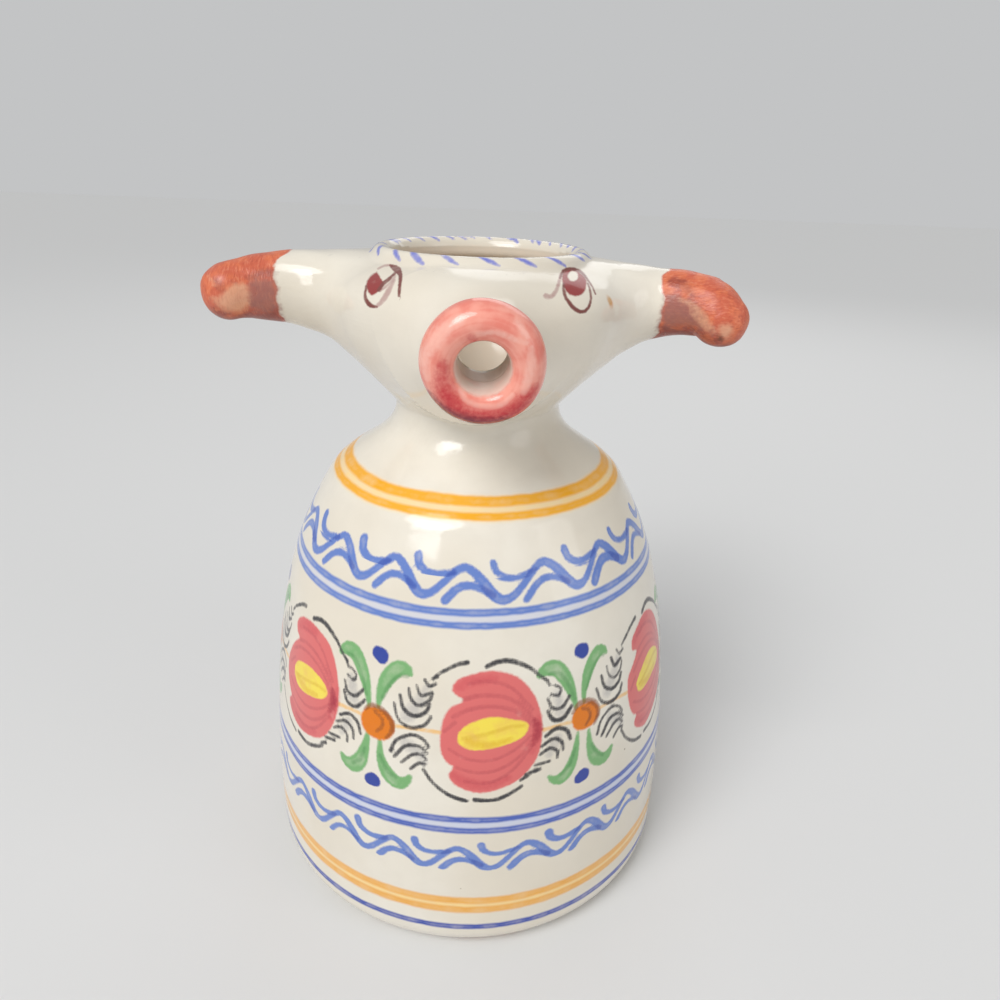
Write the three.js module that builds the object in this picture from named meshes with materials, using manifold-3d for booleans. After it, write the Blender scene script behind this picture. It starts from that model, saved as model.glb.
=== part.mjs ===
// A bull-shaped pitcher of glazed earthenware: a bell-shaped jar with a bull's head on its neck.
// It is filled through the round mouth on top of the head, poured through the snout, and held by a
// strap at the back. Millimetres, +Z up, the face looks along -Y, origin at the middle of the foot.
import * as THREE from "three";
import { mergeVertices } from "three/addons/utils/BufferGeometryUtils.js";
import Module from "manifold-3d";

const wasm = await Module();
wasm.setup();

// Heights: heel and shoulder above the table, then how far the neck rises above the shoulder, the
// widest part of the cheeks above the neck, and the rim above the cheeks
const heelHeight = 9;
const shoulderHeight = 132;
const neckRise = 23.5;
const cheekRise = 30;
const rimRise = 14.5;

// Radii of the outside at those heights. The foot is drawn in under the belly by the heel's inset.
const bellyRadius = 68.6;
const heelInset = 8.2;
const footRadius = bellyRadius - heelInset;
const shoulderRadius = 46.4;
const neckRadius = 24.8;
const cheekRadius = 42.3;
const rimRadius = 30.8;

// How the outline bends between them: the length of each Bezier handle, and the shoulder's lean
const bellyHandle = 92;
const shoulderHandleDown = 13;
const shoulderHandleUp = 9;
const neckHandleDown = 11.6;
const neckHandleUp = 3;
const cheekHandleDown = 15;
const cheekHandleUp = 7;
const crownHandle = 5;
const shoulderLean = THREE.MathUtils.degToRad(28);
const crownLean = THREE.MathUtils.degToRad(64);

// Clay thicknesses
const wallThickness = 5;
const floorThickness = 8;
const lipHeight = 3.2;

// How far below the shoulder its collar is luted on the wall, and the gap of every other joint
const collarDepth = 10;
const lutingGap = 0.3;

// Snout: the pouring bore starts on the jar's axis above the cheeks, droops and turns a little
const boreRadius = 6.2;
const boreRise = 2.1;
const boreDroop = THREE.MathUtils.degToRad(8);
const boreTurn = THREE.MathUtils.degToRad(3);
const funnelRadius = 11;
const funnelDepth = 9.3;
const throatLength = 6.4;
const muzzleLength = 9.1;
const muzzleRootOut = 0.2;
const muzzleRootDrop = 7.5;
const muzzleRootRadius = 20;
const muzzleEndRadius = 12.6;
const muzzleFlareWidth = 3.4;
const muzzleTrim = 3;
const ringRadius = 14.8;
const ringCrestRadius = 10.2;
const ringWidestDepth = 3.8;
const ringDepth = 9.2;
const ringMouthDepth = 3.6;

// How the ring's section bends: its handles behind and before the widest place, and over the crest
const ringBackHandle = 0.8;
const ringWidestHandles = [1, 3];
const ringCrestHandles = [2.6, 2.4];
const ringMouthHandle = 2.2;

// Horns: each root starts inside the rim's radius, a drop below the cheek's height. The rest of the
// middle line is steps [out, forward, up] from the cheek's side, with the radius at each point.
const hornRootInset = 0.5;
const hornLeft = {
  rootDrop: 2,
  line: [[-0.5, 1, 0.1], [12, 3, 1.3], [22, 7, 1.1], [28.5, 11, 0.3], [33.6, 14.4, -0.8]],
  radii: [15, 13, 11.4, 9.7, 8.6, 8],
  tipRound: 7.5,
};
const hornRight = {
  rootDrop: 2.5,
  line: [[-1.9, 1, -0.6], [8, 2.4, 0.9], [17, 6, 1.6], [23, 10, 0.2], [28.4, 15, -6.4]],
  radii: [15, 12.7, 10.4, 9.5, 8.7, 7.2],
  tipRound: 6.5,
};

// Handle: how far it reaches behind the axis, its strap's half width and half thickness, how much
// wider it is where it is luted on, and how deep both its roots start inside the clay
const handleReach = 66;
const handleHalfWidth = 11.5;
const handleHalfThickness = 4.4;
const handleFlare = 0.45;
const handleRootDepth = 8;

// Where the strap's middle line passes: above or below the cheeks' height, at the thumb's rest, the
// top bend and the back, and then below the neck's height at the lower bend
const thumbRest = [5.5, 1.5];
const topBend = [-5, -4];
const backDrop = 18.5;
const lowerBend = [-5, -6.5];

// Facets
const potSides = 40;
const snoutSides = 24;
const hornSides = 16;
const hornSteps = 10;
const handleSides = 12;
const handleSteps = 18;
const curveSteps = 7;

const whiteGlaze = { color: 0xece6da, roughness: 0.18, metalness: 0 };
const brownGlaze = { color: 0xa5482f, roughness: 0.3, metalness: 0 };
const pinkGlaze = { color: 0xd9706a, roughness: 0.22, metalness: 0 };
const bareClay = { color: 0xd3ab86, roughness: 0.85, metalness: 0 };

// A closed geometry as a solid that can be joined and cut
function solidOf(geometry) {
  const bare = geometry.clone();
  bare.deleteAttribute("normal");
  bare.deleteAttribute("uv");
  const merged = mergeVertices(bare, 1e-4);
  return new wasm.Manifold(
    new wasm.Mesh({
      numProp: 3,
      vertProperties: merged.attributes.position.array,
      triVerts: new Uint32Array(merged.index.array),
    }),
  );
}

// A solid as a named mesh with its own glaze
function piece(name, solid, glaze) {
  const { vertProperties, triVerts } = solid.getMesh();
  const geometry = new THREE.BufferGeometry();
  geometry.setAttribute("position", new THREE.BufferAttribute(vertProperties, 3));
  geometry.setIndex(new THREE.BufferAttribute(triVerts, 1));
  geometry.computeVertexNormals();
  const mesh = new THREE.Mesh(geometry, new THREE.MeshStandardMaterial(glaze));
  mesh.name = name;
  return mesh;
}

// A closed outline of [radius, height] turned round the upright axis
function turned(outline, sides) {
  const points = outline.map(([radius, height]) => new THREE.Vector2(radius, height));
  if (!points[0].equals(points.at(-1)) && (points[0].x > 0 || points.at(-1).x > 0)) {
    points.push(points[0].clone());
  }
  return new THREE.LatheGeometry(points, sides).rotateX(Math.PI / 2);
}

// Points of a Bezier curve between two [radius, height] ends with their handles
function arc(start, startHandle, endHandle, end) {
  const [a, b, c, d] = [start, startHandle, endHandle, end].map((p) => new THREE.Vector2(...p));
  return new THREE.CubicBezierCurve(a, b, c, d).getPoints(curveSteps).map((p) => [p.x, p.y]);
}

const neckHeight = shoulderHeight + neckRise;
const cheekHeight = neckHeight + cheekRise;
const rimHeight = cheekHeight + rimRise;

// The jar's outside from the heel to the neck, and the head's from the neck to the crown
const lean = [-Math.sin(shoulderLean), Math.cos(shoulderLean)];
const shoulderPoint = [shoulderRadius, shoulderHeight];
const crownHeight = rimHeight - lipHeight;
const crownPoint = [rimRadius, crownHeight];
const jarOutline = [
  ...arc(
    [bellyRadius, heelHeight],
    [bellyRadius, heelHeight + bellyHandle],
    [shoulderRadius - lean[0] * shoulderHandleDown, shoulderHeight - lean[1] * shoulderHandleDown],
    shoulderPoint,
  ),
  ...arc(
    shoulderPoint,
    [shoulderRadius + lean[0] * shoulderHandleUp, shoulderHeight + lean[1] * shoulderHandleUp],
    [neckRadius, neckHeight - neckHandleDown],
    [neckRadius, neckHeight],
  ).slice(1),
];
const headOutline = [
  ...arc(
    [neckRadius, neckHeight],
    [neckRadius, neckHeight + neckHandleUp],
    [cheekRadius, cheekHeight - cheekHandleDown],
    [cheekRadius, cheekHeight],
  ),
  ...arc(
    [cheekRadius, cheekHeight],
    [cheekRadius, cheekHeight + cheekHandleUp],
    [rimRadius + crownHandle * Math.sin(crownLean), crownHeight - crownHandle * Math.cos(crownLean)],
    crownPoint,
  ).slice(1),
];

// Radius of an outline at a height, and the stretch of an outline between two heights
function radiusAt(outline, height) {
  const next = Math.max(1, outline.findIndex(([, z]) => z >= height));
  const [r0, z0] = outline[next - 1];
  const [r1, z1] = outline[next];
  return r0 + ((r1 - r0) * (height - z0)) / (z1 - z0);
}

function between(outline, low, high) {
  const inside = outline.filter(([, z]) => z > low + 0.5 && z < high - 0.5);
  return [[radiusAt(outline, low), low], ...inside, [radiusAt(outline, high), high]];
}

// A hollow ring of wall: the outline's outside going up, and its inside coming down
function wallBetween(outline, low, high) {
  const outside = between(outline, low, high);
  const inside = outside.map(([radius, height]) => [radius - wallThickness, height]).reverse();
  return [...outside, ...inside];
}

// The filled outside of an outline, swollen by the luting gap, for cutting what is luted to it
function core(outline, sides) {
  const [first, last] = [outline[0], outline.at(-1)];
  const swollen = outline.map(([radius, height]) => [radius + lutingGap, height]);
  return solidOf(turned([[0, first[1]], ...swollen, [0, last[1]]], sides));
}

// Pieces turned on the wheel
const heel = Array.from({ length: 5 }, (_, i) => {
  const angle = (i / 4) * (Math.PI / 2);
  const width = bellyRadius - footRadius;
  return [footRadius + width * Math.sin(angle), heelHeight * (1 - Math.cos(angle))];
});
const footOutline = [...heel.slice(0, -1), ...jarOutline];
const floorRadius = radiusAt(footOutline, floorThickness);
const floorHeel = footOutline.filter(([, z]) => z < floorThickness - 0.5);
const floor = solidOf(
  turned([[0, 0], ...floorHeel, [floorRadius, floorThickness], [0, floorThickness]], potSides),
);
const collarHeight = shoulderHeight - collarDepth;
const bodyWall = solidOf(turned(wallBetween(footOutline, floorThickness, collarHeight), potSides));
const shoulder = solidOf(turned(wallBetween(jarOutline, collarHeight, neckHeight), potSides));
const headShell = solidOf(turned(wallBetween(headOutline, neckHeight, crownHeight), potSides));
const headCore = core([...headOutline, [rimRadius, rimHeight + lutingGap]], potSides);
const jarCore = core(between(jarOutline, heelHeight, neckHeight), potSides);

// The lip: a half-round on the crown, as wide as the wall
const lipHalfWidth = wallThickness / 2;
const lipMiddle = rimRadius - lipHalfWidth;
const lipRound = Array.from({ length: 9 }, (_, i) => {
  const angle = (i / 8) * Math.PI;
  return [lipMiddle + lipHalfWidth * Math.cos(angle), crownHeight + lipHeight * Math.sin(angle)];
});
const mouthLip = solidOf(turned(lipRound, potSides));

// The snout's own frame: its axis is +Z here, and then points forward, down and a little aside
const snoutFrame = new THREE.Matrix4()
  .makeTranslation(0, 0, cheekHeight + boreRise)
  .multiply(new THREE.Matrix4().makeRotationZ(boreTurn))
  .multiply(new THREE.Matrix4().makeRotationX(Math.PI / 2 + boreDroop));

function onSnout(outline) {
  return solidOf(turned(outline, snoutSides).applyMatrix4(snoutFrame));
}

// The space that the drink runs through, from inside the head to the front of the ring
const muzzleEndReach = cheekRadius + muzzleLength;
const ringFrontReach = muzzleEndReach + lutingGap + ringDepth;
const funnel = onSnout([
  [0, 0],
  [funnelRadius, 0],
  [funnelRadius, cheekRadius - funnelDepth],
  [boreRadius, muzzleEndReach - throatLength],
  [boreRadius, ringFrontReach],
  [0, ringFrontReach],
]);
const headBowl = headShell.subtract(funnel);

// The muzzle flares back and down from the ring to a wide root on the face. It is turned a little
// too long, and its end is cut square to the bore, where the ring sits.
const muzzleEnd = new THREE.Vector3(0, 0, muzzleEndReach + muzzleTrim).applyMatrix4(snoutFrame);
const squareCut = onSnout([
  [0, muzzleEndReach],
  [muzzleRootRadius, muzzleEndReach],
  [muzzleRootRadius, ringFrontReach],
  [0, ringFrontReach],
]);
const muzzleRoot = new THREE.Vector3(0, -rimRadius - muzzleRootOut, cheekHeight - muzzleRootDrop);
const flareLength = muzzleRoot.distanceTo(muzzleEnd);
const muzzleFrame = new THREE.Matrix4()
  .lookAt(muzzleEnd, muzzleRoot, new THREE.Vector3(0, 0, 1))
  .setPosition(muzzleRoot);
const muzzleFlare = arc(
  [muzzleRootRadius, 0],
  [muzzleEndRadius + muzzleFlareWidth, flareLength * 0.4],
  [muzzleEndRadius, flareLength * 0.7],
  [muzzleEndRadius, flareLength],
);
const muzzleOutline = [[0, 0], ...muzzleFlare, [0, flareLength]];
const muzzle = solidOf(turned(muzzleOutline, snoutSides).applyMatrix4(muzzleFrame))
  .subtract(headCore)
  .subtract(funnel)
  .subtract(squareCut);

// The ring is plump in front, and its back face sits on the muzzle's end
const ringBack = muzzleEndReach + lutingGap;
const ringWidestReach = ringBack + ringWidestDepth;
const ringFront = [
  ...arc(
    [muzzleEndRadius, ringBack],
    [ringRadius, ringBack + ringBackHandle],
    [ringRadius, ringWidestReach - ringWidestHandles[0]],
    [ringRadius, ringWidestReach],
  ),
  ...arc(
    [ringRadius, ringWidestReach],
    [ringRadius, ringWidestReach + ringWidestHandles[1]],
    [ringCrestRadius + ringCrestHandles[0], ringFrontReach],
    [ringCrestRadius, ringFrontReach],
  ).slice(1),
  ...arc(
    [ringCrestRadius, ringFrontReach],
    [ringCrestRadius - ringCrestHandles[1], ringFrontReach],
    [boreRadius, ringFrontReach - ringMouthDepth + ringMouthHandle],
    [boreRadius, ringFrontReach - ringMouthDepth],
  ).slice(1),
];
const snoutRing = onSnout([...ringFront, [boreRadius, ringBack]]);

// A round bar bent along a curve. It keeps its width along the side direction, and flat is its
// thickness as a share of that width.
function bentBar(curve, outline, sides, sideOf, flat) {
  const bar = turned(outline, sides);
  const place = bar.getAttribute("position");
  const length = outline.at(-1)[1];
  for (let i = 0; i < place.count; i++) {
    const share = THREE.MathUtils.clamp(place.getZ(i) / length, 0, 1);
    const middle = curve.getPointAt(share);
    const tangent = curve.getTangentAt(share);
    const side = sideOf(tangent);
    const third = new THREE.Vector3().crossVectors(tangent, side);
    middle.addScaledVector(side, place.getX(i)).addScaledVector(third, place.getY(i) * flat);
    place.setXYZ(i, middle.x, middle.y, middle.z);
  }
  return solidOf(bar);
}

const upright = new THREE.Vector3(0, 0, 1);
const acrossHead = new THREE.Vector3(1, 0, 0);

// A horn: stout at the root, with a blunt round tip. The hand is -1 at the left and 1 at the right.
function horn(hand, { rootDrop, line, radii, tipRound }) {
  const root = [rimRadius - hornRootInset - cheekRadius, 0, -rootDrop];
  const points = [root, ...line].map(
    ([out, forward, up]) =>
      new THREE.Vector3(hand * (cheekRadius + out), -forward, cheekHeight + up),
  );
  const curve = new THREE.CatmullRomCurve3(points);
  const length = curve.getLength();
  const shankLength = length - tipRound;
  const girth = new THREE.SplineCurve(radii.map((radius, i) => new THREE.Vector2(i, radius)));
  const shank = Array.from({ length: hornSteps }, (_, i) => {
    const along = (i / (hornSteps - 1)) * shankLength;
    return [girth.getPoint(along / length).y, along];
  });
  const endRadius = shank.at(-1)[0];
  const tip = [0.3, 0.55, 0.78, 0.93].map((share) => {
    const angle = (share * Math.PI) / 2;
    return [endRadius * Math.cos(angle), shankLength + tipRound * Math.sin(angle)];
  });
  const sideOf = (tangent) => new THREE.Vector3().crossVectors(upright, tangent).normalize();
  return bentBar(curve, [[0, 0], ...shank, ...tip, [0, length]], hornSides, sideOf, 1)
    .subtract(headCore);
}

// The handle: an even strap from the back of the head to the shoulder, wider where it is luted on
function strapHandle() {
  const points = [
    [cheekRadius - handleRootDepth, cheekHeight - 2.5],
    [cheekRadius + thumbRest[0], cheekHeight + thumbRest[1]],
    [handleReach + topBend[0], cheekHeight + topBend[1]],
    [handleReach, cheekHeight - backDrop],
    [handleReach + lowerBend[0], neckHeight + lowerBend[1]],
    [shoulderRadius + 1, shoulderHeight],
    [shoulderRadius - handleRootDepth, shoulderHeight - handleRootDepth],
  ];
  const curve = new THREE.CatmullRomCurve3(points.map(([y, z]) => new THREE.Vector3(0, y, z)));
  const length = curve.getLength();
  const strap = Array.from({ length: handleSteps }, (_, i) => {
    const share = i / (handleSteps - 1);
    const flare = 1 + handleFlare * (2 * share - 1) ** 6;
    return [handleHalfWidth * flare, share * length];
  });
  const flat = handleHalfThickness / handleHalfWidth;
  return bentBar(curve, [[0, 0], ...strap, [0, length]], handleSides, () => acrossHead, flat)
    .subtract(headCore)
    .subtract(jarCore);
}

const pitcher = new THREE.Group();
pitcher.add(
  piece("floor", floor, bareClay),
  piece("body_wall", bodyWall, whiteGlaze),
  piece("shoulder", shoulder, whiteGlaze),
  piece("head_bowl", headBowl, whiteGlaze),
  piece("mouth_lip", mouthLip, whiteGlaze),
  piece("muzzle", muzzle, whiteGlaze),
  piece("snout_ring", snoutRing, pinkGlaze),
  piece("horn_left", horn(-1, hornLeft), brownGlaze),
  piece("horn_right", horn(1, hornRight), brownGlaze),
  piece("handle", strapHandle(), whiteGlaze),
);

export default pitcher;
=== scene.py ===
import math

import bmesh
import bpy
import numpy as np
from mathutils import Matrix, Vector
from mathutils.geometry import interpolate_bezier


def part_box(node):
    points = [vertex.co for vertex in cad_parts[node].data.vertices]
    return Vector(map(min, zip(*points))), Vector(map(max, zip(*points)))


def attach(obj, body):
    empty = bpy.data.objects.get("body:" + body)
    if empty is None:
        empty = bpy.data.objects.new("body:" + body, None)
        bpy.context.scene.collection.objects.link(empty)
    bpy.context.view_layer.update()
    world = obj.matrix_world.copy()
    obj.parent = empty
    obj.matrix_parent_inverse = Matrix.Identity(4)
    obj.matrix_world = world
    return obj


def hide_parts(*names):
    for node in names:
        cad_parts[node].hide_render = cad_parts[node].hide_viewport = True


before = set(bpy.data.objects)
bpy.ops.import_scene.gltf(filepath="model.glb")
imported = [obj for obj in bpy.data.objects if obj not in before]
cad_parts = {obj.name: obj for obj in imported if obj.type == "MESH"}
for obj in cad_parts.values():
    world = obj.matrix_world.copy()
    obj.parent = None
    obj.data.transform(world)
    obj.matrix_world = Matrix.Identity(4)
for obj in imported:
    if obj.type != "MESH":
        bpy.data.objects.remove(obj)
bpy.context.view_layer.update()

MM = 0.001

# The photograph's viewpoint: a hand-held camera a little above the pitcher's head, tilted down and
# slightly rolled.
CAMERA_PLACE = Vector((7.88, -222.6, 221.2)) * MM
CAMERA_PITCH, CAMERA_ROLL = math.radians(24.12), math.radians(2.16)
ahead = Vector((0, math.cos(CAMERA_PITCH), -math.sin(CAMERA_PITCH)))
level_right = Vector((1, 0, 0))
level_up = Vector((0, math.sin(CAMERA_PITCH), math.cos(CAMERA_PITCH)))
VIEW_RIGHT = math.cos(CAMERA_ROLL) * level_right + math.sin(CAMERA_ROLL) * level_up
VIEW_UP = math.cos(CAMERA_ROLL) * level_up - math.sin(CAMERA_ROLL) * level_right

camera_data = bpy.data.cameras.new("camera")
camera_data.sensor_width = 36
camera_data.lens = 27
camera_data.clip_start = 0.01
camera = bpy.data.objects.new("camera", camera_data)
camera_turn = Matrix((VIEW_RIGHT, VIEW_UP, -ahead)).transposed().to_4x4()
camera.matrix_world = Matrix.Translation(CAMERA_PLACE) @ camera_turn
bpy.context.scene.collection.objects.link(camera)
bpy.context.scene.camera = camera
bpy.context.scene.view_settings.view_transform = "Standard"


# The studio: a matt pale floor under even light from a high front left, with one soft lamp that draws
# the bright patch on the glaze and a weaker one at the right.
FLOOR_SIZE = 8.0
WORLD_LIGHT, BACKDROP_LIGHT = 0.43, 0.575


def new_material(name):
    material = bpy.data.materials.new(name)
    material.use_nodes = True
    tree = material.node_tree
    return material, tree, tree.nodes["Principled BSDF"]


def add_node(tree, kind, inputs=(), **settings):
    """A shader node with its settings, each input either linked to a socket or set to a value."""
    made = tree.nodes.new("ShaderNode" + kind)
    for name, value in settings.items():
        setattr(made, name, value)
    for socket, value in dict(inputs).items():
        if isinstance(value, bpy.types.NodeSocket):
            tree.links.new(value, made.inputs[socket])
        else:
            made.inputs[socket].default_value = value
    return made


def noise(tree, place, scale, detail=2.0):
    inputs = {"Vector": place, "Scale": scale, "Detail": detail}
    return add_node(tree, "TexNoise", inputs).outputs["Fac"]


def ranged(tree, value, low, high, to_low=0.0, to_high=1.0, kind="SMOOTHSTEP"):
    inputs = {"Value": value, "From Min": low, "From Max": high, "To Min": to_low, "To Max": to_high}
    return add_node(tree, "MapRange", inputs, interpolation_type=kind).outputs["Result"]


def calc(tree, operation, *values, clamp=False):
    inputs = dict(enumerate(values))
    return add_node(tree, "Math", inputs, operation=operation, use_clamp=clamp).outputs[0]


def mixed(tree, share, first, second):
    """A colour mixed from the first, at share 0, to the second, at share 1."""
    node = add_node(tree, "Mix", {0: share, 6: first, 7: second}, data_type="RGBA")
    return node.outputs[2]


def object_from(name, mesh):
    data = bpy.data.meshes.new(name)
    mesh.to_mesh(data)
    mesh.free()
    piece = bpy.data.objects.new(name, data)
    bpy.context.scene.collection.objects.link(piece)
    return piece


floor_mesh = bmesh.new()
bmesh.ops.create_grid(floor_mesh, x_segments=1, y_segments=1, size=FLOOR_SIZE / 2)
studio_floor = object_from("studio_floor", floor_mesh)
material, tree, shader = new_material("pale paper")
shader.inputs["Base Color"].default_value = (0.72, 0.72, 0.715, 1)
shader.inputs["Roughness"].default_value = 0.9
shader.inputs["Specular IOR Level"].default_value = 0.2
studio_floor.data.materials.append(material)


def lamp(name, kind, place, aim, power, **settings):
    lamp_data = bpy.data.lights.new(name, kind)
    lamp_data.energy = power
    for setting, value in settings.items():
        setattr(lamp_data, setting, value)
    made = bpy.data.objects.new(name, lamp_data)
    made.location = place
    made.rotation_euler = (Vector(aim) - Vector(place)).to_track_quat("-Z", "Y").to_euler()
    bpy.context.scene.collection.objects.link(made)


ABOVE = (0, 0, 0.12)
lamp("day_lamp", "SUN", (-0.6, -0.8, 1.3), ABOVE, 1.42, angle=0.6)
lamp("window_lamp", "AREA", (-0.42, -0.62, 0.72), ABOVE, 2.0, shape="RECTANGLE", size=0.34, size_y=0.42)
lamp("side_lamp", "AREA", (0.95, -0.5, 0.55), ABOVE, 1.5, shape="RECTANGLE", size=0.5, size_y=0.8)
lamp("back_lamp", "AREA", (0.25, 0.95, 0.8), ABOVE, 1.6, shape="RECTANGLE", size=0.9, size_y=0.5)
world = bpy.data.worlds.new("studio")
bpy.context.scene.world = world
world.use_nodes = True
tree = world.node_tree
background = tree.nodes["Background"]
seen = add_node(tree, "LightPath").outputs["Is Camera Ray"]
tree.links.new(ranged(tree, seen, 0, 1, WORLD_LIGHT, BACKDROP_LIGHT), background.inputs["Strength"])
background.inputs["Color"].default_value = (0.95, 0.96, 0.97, 1)


# The jar is thrown on the wheel: a bell-shaped wall that ends at the collar below the shoulder. Its
# outline runs on through the shoulder and the neck into the head's bowl. Radii and heights in mm.
FOOT_RADIUS, BELLY_RADIUS, HEEL_HEIGHT = 60.4, 68.6, 9
SHOULDER_RADIUS, SHOULDER_HEIGHT, SHOULDER_LEAN = 46.4, 132, math.radians(28)
NECK_RADIUS, NECK_HEIGHT = 24.8, 155.5
CHEEK_RADIUS, CHEEK_HEIGHT = 42.3, 185.5
RIM_RADIUS, RIM_HEIGHT, LIP_HEIGHT, CROWN_LEAN = 30.8, 200, 3.2, math.radians(64)
BELLY_BEND, SHOULDER_BENDS, NECK_BENDS, CHEEK_BENDS, CROWN_BEND = 92, (13, 9), (11.6, 3), (15, 7), 5
WALL_THICKNESS, SLOPE_SPAN = 5, 25
COLLAR_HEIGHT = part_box("body_wall")[1].z / MM
FLOOR_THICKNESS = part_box("body_wall")[0].z / MM
CROWN_HEIGHT = RIM_HEIGHT - LIP_HEIGHT


def bend(start, start_handle, end_handle, end, steps=40):
    corners = [Vector((*corner, 0)) for corner in (start, start_handle, end_handle, end)]
    return [(point.x, point.y) for point in interpolate_bezier(*corners, steps)]


lean_x, lean_z = -math.sin(SHOULDER_LEAN), math.cos(SHOULDER_LEAN)
crown_x, crown_z = math.sin(CROWN_LEAN), -math.cos(CROWN_LEAN)
heel = [
    (FOOT_RADIUS + (BELLY_RADIUS - FOOT_RADIUS) * math.sin(a), HEEL_HEIGHT * (1 - math.cos(a)))
    for a in np.linspace(0, math.pi / 2, 16)
]
outline = heel[:-1]
outline += bend(
    (BELLY_RADIUS, HEEL_HEIGHT),
    (BELLY_RADIUS, HEEL_HEIGHT + BELLY_BEND),
    (SHOULDER_RADIUS - SHOULDER_BENDS[0] * lean_x, SHOULDER_HEIGHT - SHOULDER_BENDS[0] * lean_z),
    (SHOULDER_RADIUS, SHOULDER_HEIGHT),
    90,
)
outline += bend(
    (SHOULDER_RADIUS, SHOULDER_HEIGHT),
    (SHOULDER_RADIUS + SHOULDER_BENDS[1] * lean_x, SHOULDER_HEIGHT + SHOULDER_BENDS[1] * lean_z),
    (NECK_RADIUS, NECK_HEIGHT - NECK_BENDS[0]),
    (NECK_RADIUS, NECK_HEIGHT),
)[1:]
outline += bend(
    (NECK_RADIUS, NECK_HEIGHT),
    (NECK_RADIUS, NECK_HEIGHT + NECK_BENDS[1]),
    (CHEEK_RADIUS, CHEEK_HEIGHT - CHEEK_BENDS[0]),
    (CHEEK_RADIUS, CHEEK_HEIGHT),
)[1:]
outline += bend(
    (CHEEK_RADIUS, CHEEK_HEIGHT),
    (CHEEK_RADIUS, CHEEK_HEIGHT + CHEEK_BENDS[1]),
    (RIM_RADIUS + CROWN_BEND * crown_x, CROWN_HEIGHT + CROWN_BEND * crown_z),
    (RIM_RADIUS, CROWN_HEIGHT),
)[1:]
outline_radii, outline_heights = np.array(outline).T
fine_heights = np.linspace(0, CROWN_HEIGHT, 4000)
fine_radii = np.interp(fine_heights, outline_heights, outline_radii)
raw_slopes = np.pad(np.gradient(fine_radii, fine_heights), SLOPE_SPAN // 2, "edge")
fine_slopes = np.convolve(raw_slopes, np.ones(SLOPE_SPAN) / SLOPE_SPAN, "valid")


def wall_distance(points, inset):
    """How far points (mm) lie outside the turned outline, drawn in by the inset: negative inside."""
    radius, height = np.hypot(points[:, 0], points[:, 1]), points[:, 2]
    slope = np.interp(height, fine_heights, fine_slopes)
    across = radius - np.interp(height, fine_heights, fine_radii) + inset
    return across / np.sqrt(1 + slope * slope)


def in_metres(name, mesh):
    """Makes a bmesh drawn in millimetres an object in metres."""
    bmesh.ops.scale(mesh, vec=(MM, MM, MM), verts=mesh.verts)
    return object_from(name, mesh)


def close_up(mesh):
    bmesh.ops.remove_doubles(mesh, verts=mesh.verts, dist=1e-3)
    bmesh.ops.recalc_face_normals(mesh, faces=mesh.faces)


def finish_mesh(name, mesh):
    close_up(mesh)
    piece = in_metres(name, mesh)
    piece.data.shade_smooth()
    return piece


def spun(profile, steps, closed=True, wedges=1):
    """A bmesh of a (radius, height) profile turned round the upright axis, in one go or, where the
    steps are many, as a wedge and its copies."""
    mesh = bmesh.new()
    ring = [mesh.verts.new((radius, 0, height)) for radius, height in profile]
    edges = [mesh.edges.new(pair) for pair in zip(ring, ring[1:])]
    if closed:
        edges.append(mesh.edges.new((ring[-1], ring[0])))
    bmesh.ops.spin(
        mesh, geom=ring + edges, cent=(0, 0, 0), axis=(0, 0, 1), dvec=(0, 0, 0),
        angle=math.tau / wedges, steps=steps // wedges, use_merge=wedges == 1,
    )
    wedge = mesh.verts[:] + mesh.edges[:] + mesh.faces[:]
    for turn in range(1, wedges):
        copy = bmesh.ops.duplicate(mesh, geom=wedge)["geom"]
        turned = Matrix.Rotation(turn * math.tau / wedges, 3, "Z")
        verts = [item for item in copy if isinstance(item, bmesh.types.BMVert)]
        bmesh.ops.rotate(mesh, cent=(0, 0, 0), matrix=turned, verts=verts)
    return mesh


def radius_at(height):
    return float(np.interp(height, outline_heights, outline_radii))


def value_and_slope(field, points, reach=0.02):
    value = field(points)
    return value, np.column_stack([(field(points + reach * axis) - value) / reach for axis in np.eye(3)])


def read(items, field, kind=float, width=1):
    """One field of a mesh's points, faces or corners, as an array."""
    values = np.empty(len(items) * width, kind)
    items.foreach_get(field, values)
    return values.reshape(-1, width) if width > 1 else values


def places_of(piece):
    """The piece's points, in mm."""
    return read(piece.data.vertices, "co", width=3) / MM


def shade_from(piece, field):
    """Smooth faces take the field's own normals, so that no seam shows; flat joint faces stay flat."""
    data = piece.data
    slopes = value_and_slope(field, places_of(piece))[1]
    slopes /= np.maximum(np.linalg.norm(slopes, axis=1), 1e-6)[:, None]
    corners, sides = read(data.loops, "vertex_index", int), read(data.polygons, "loop_total", int)
    flat_normals = np.repeat(read(data.polygons, "normal", width=3), sides, axis=0)
    smooth_corners = np.repeat(read(data.polygons, "use_smooth", bool), sides)[:, None]
    data.normals_split_custom_set(np.where(smooth_corners, slopes[corners], flat_normals))


def wall_surface(points):
    """The nearer face of the thrown wall: its outside, or its inside turned the other way."""
    outer = wall_distance(points, WALL_THICKNESS / 2) > 0
    return np.where(outer, wall_distance(points, 0), -wall_distance(points, WALL_THICKNESS))


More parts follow.
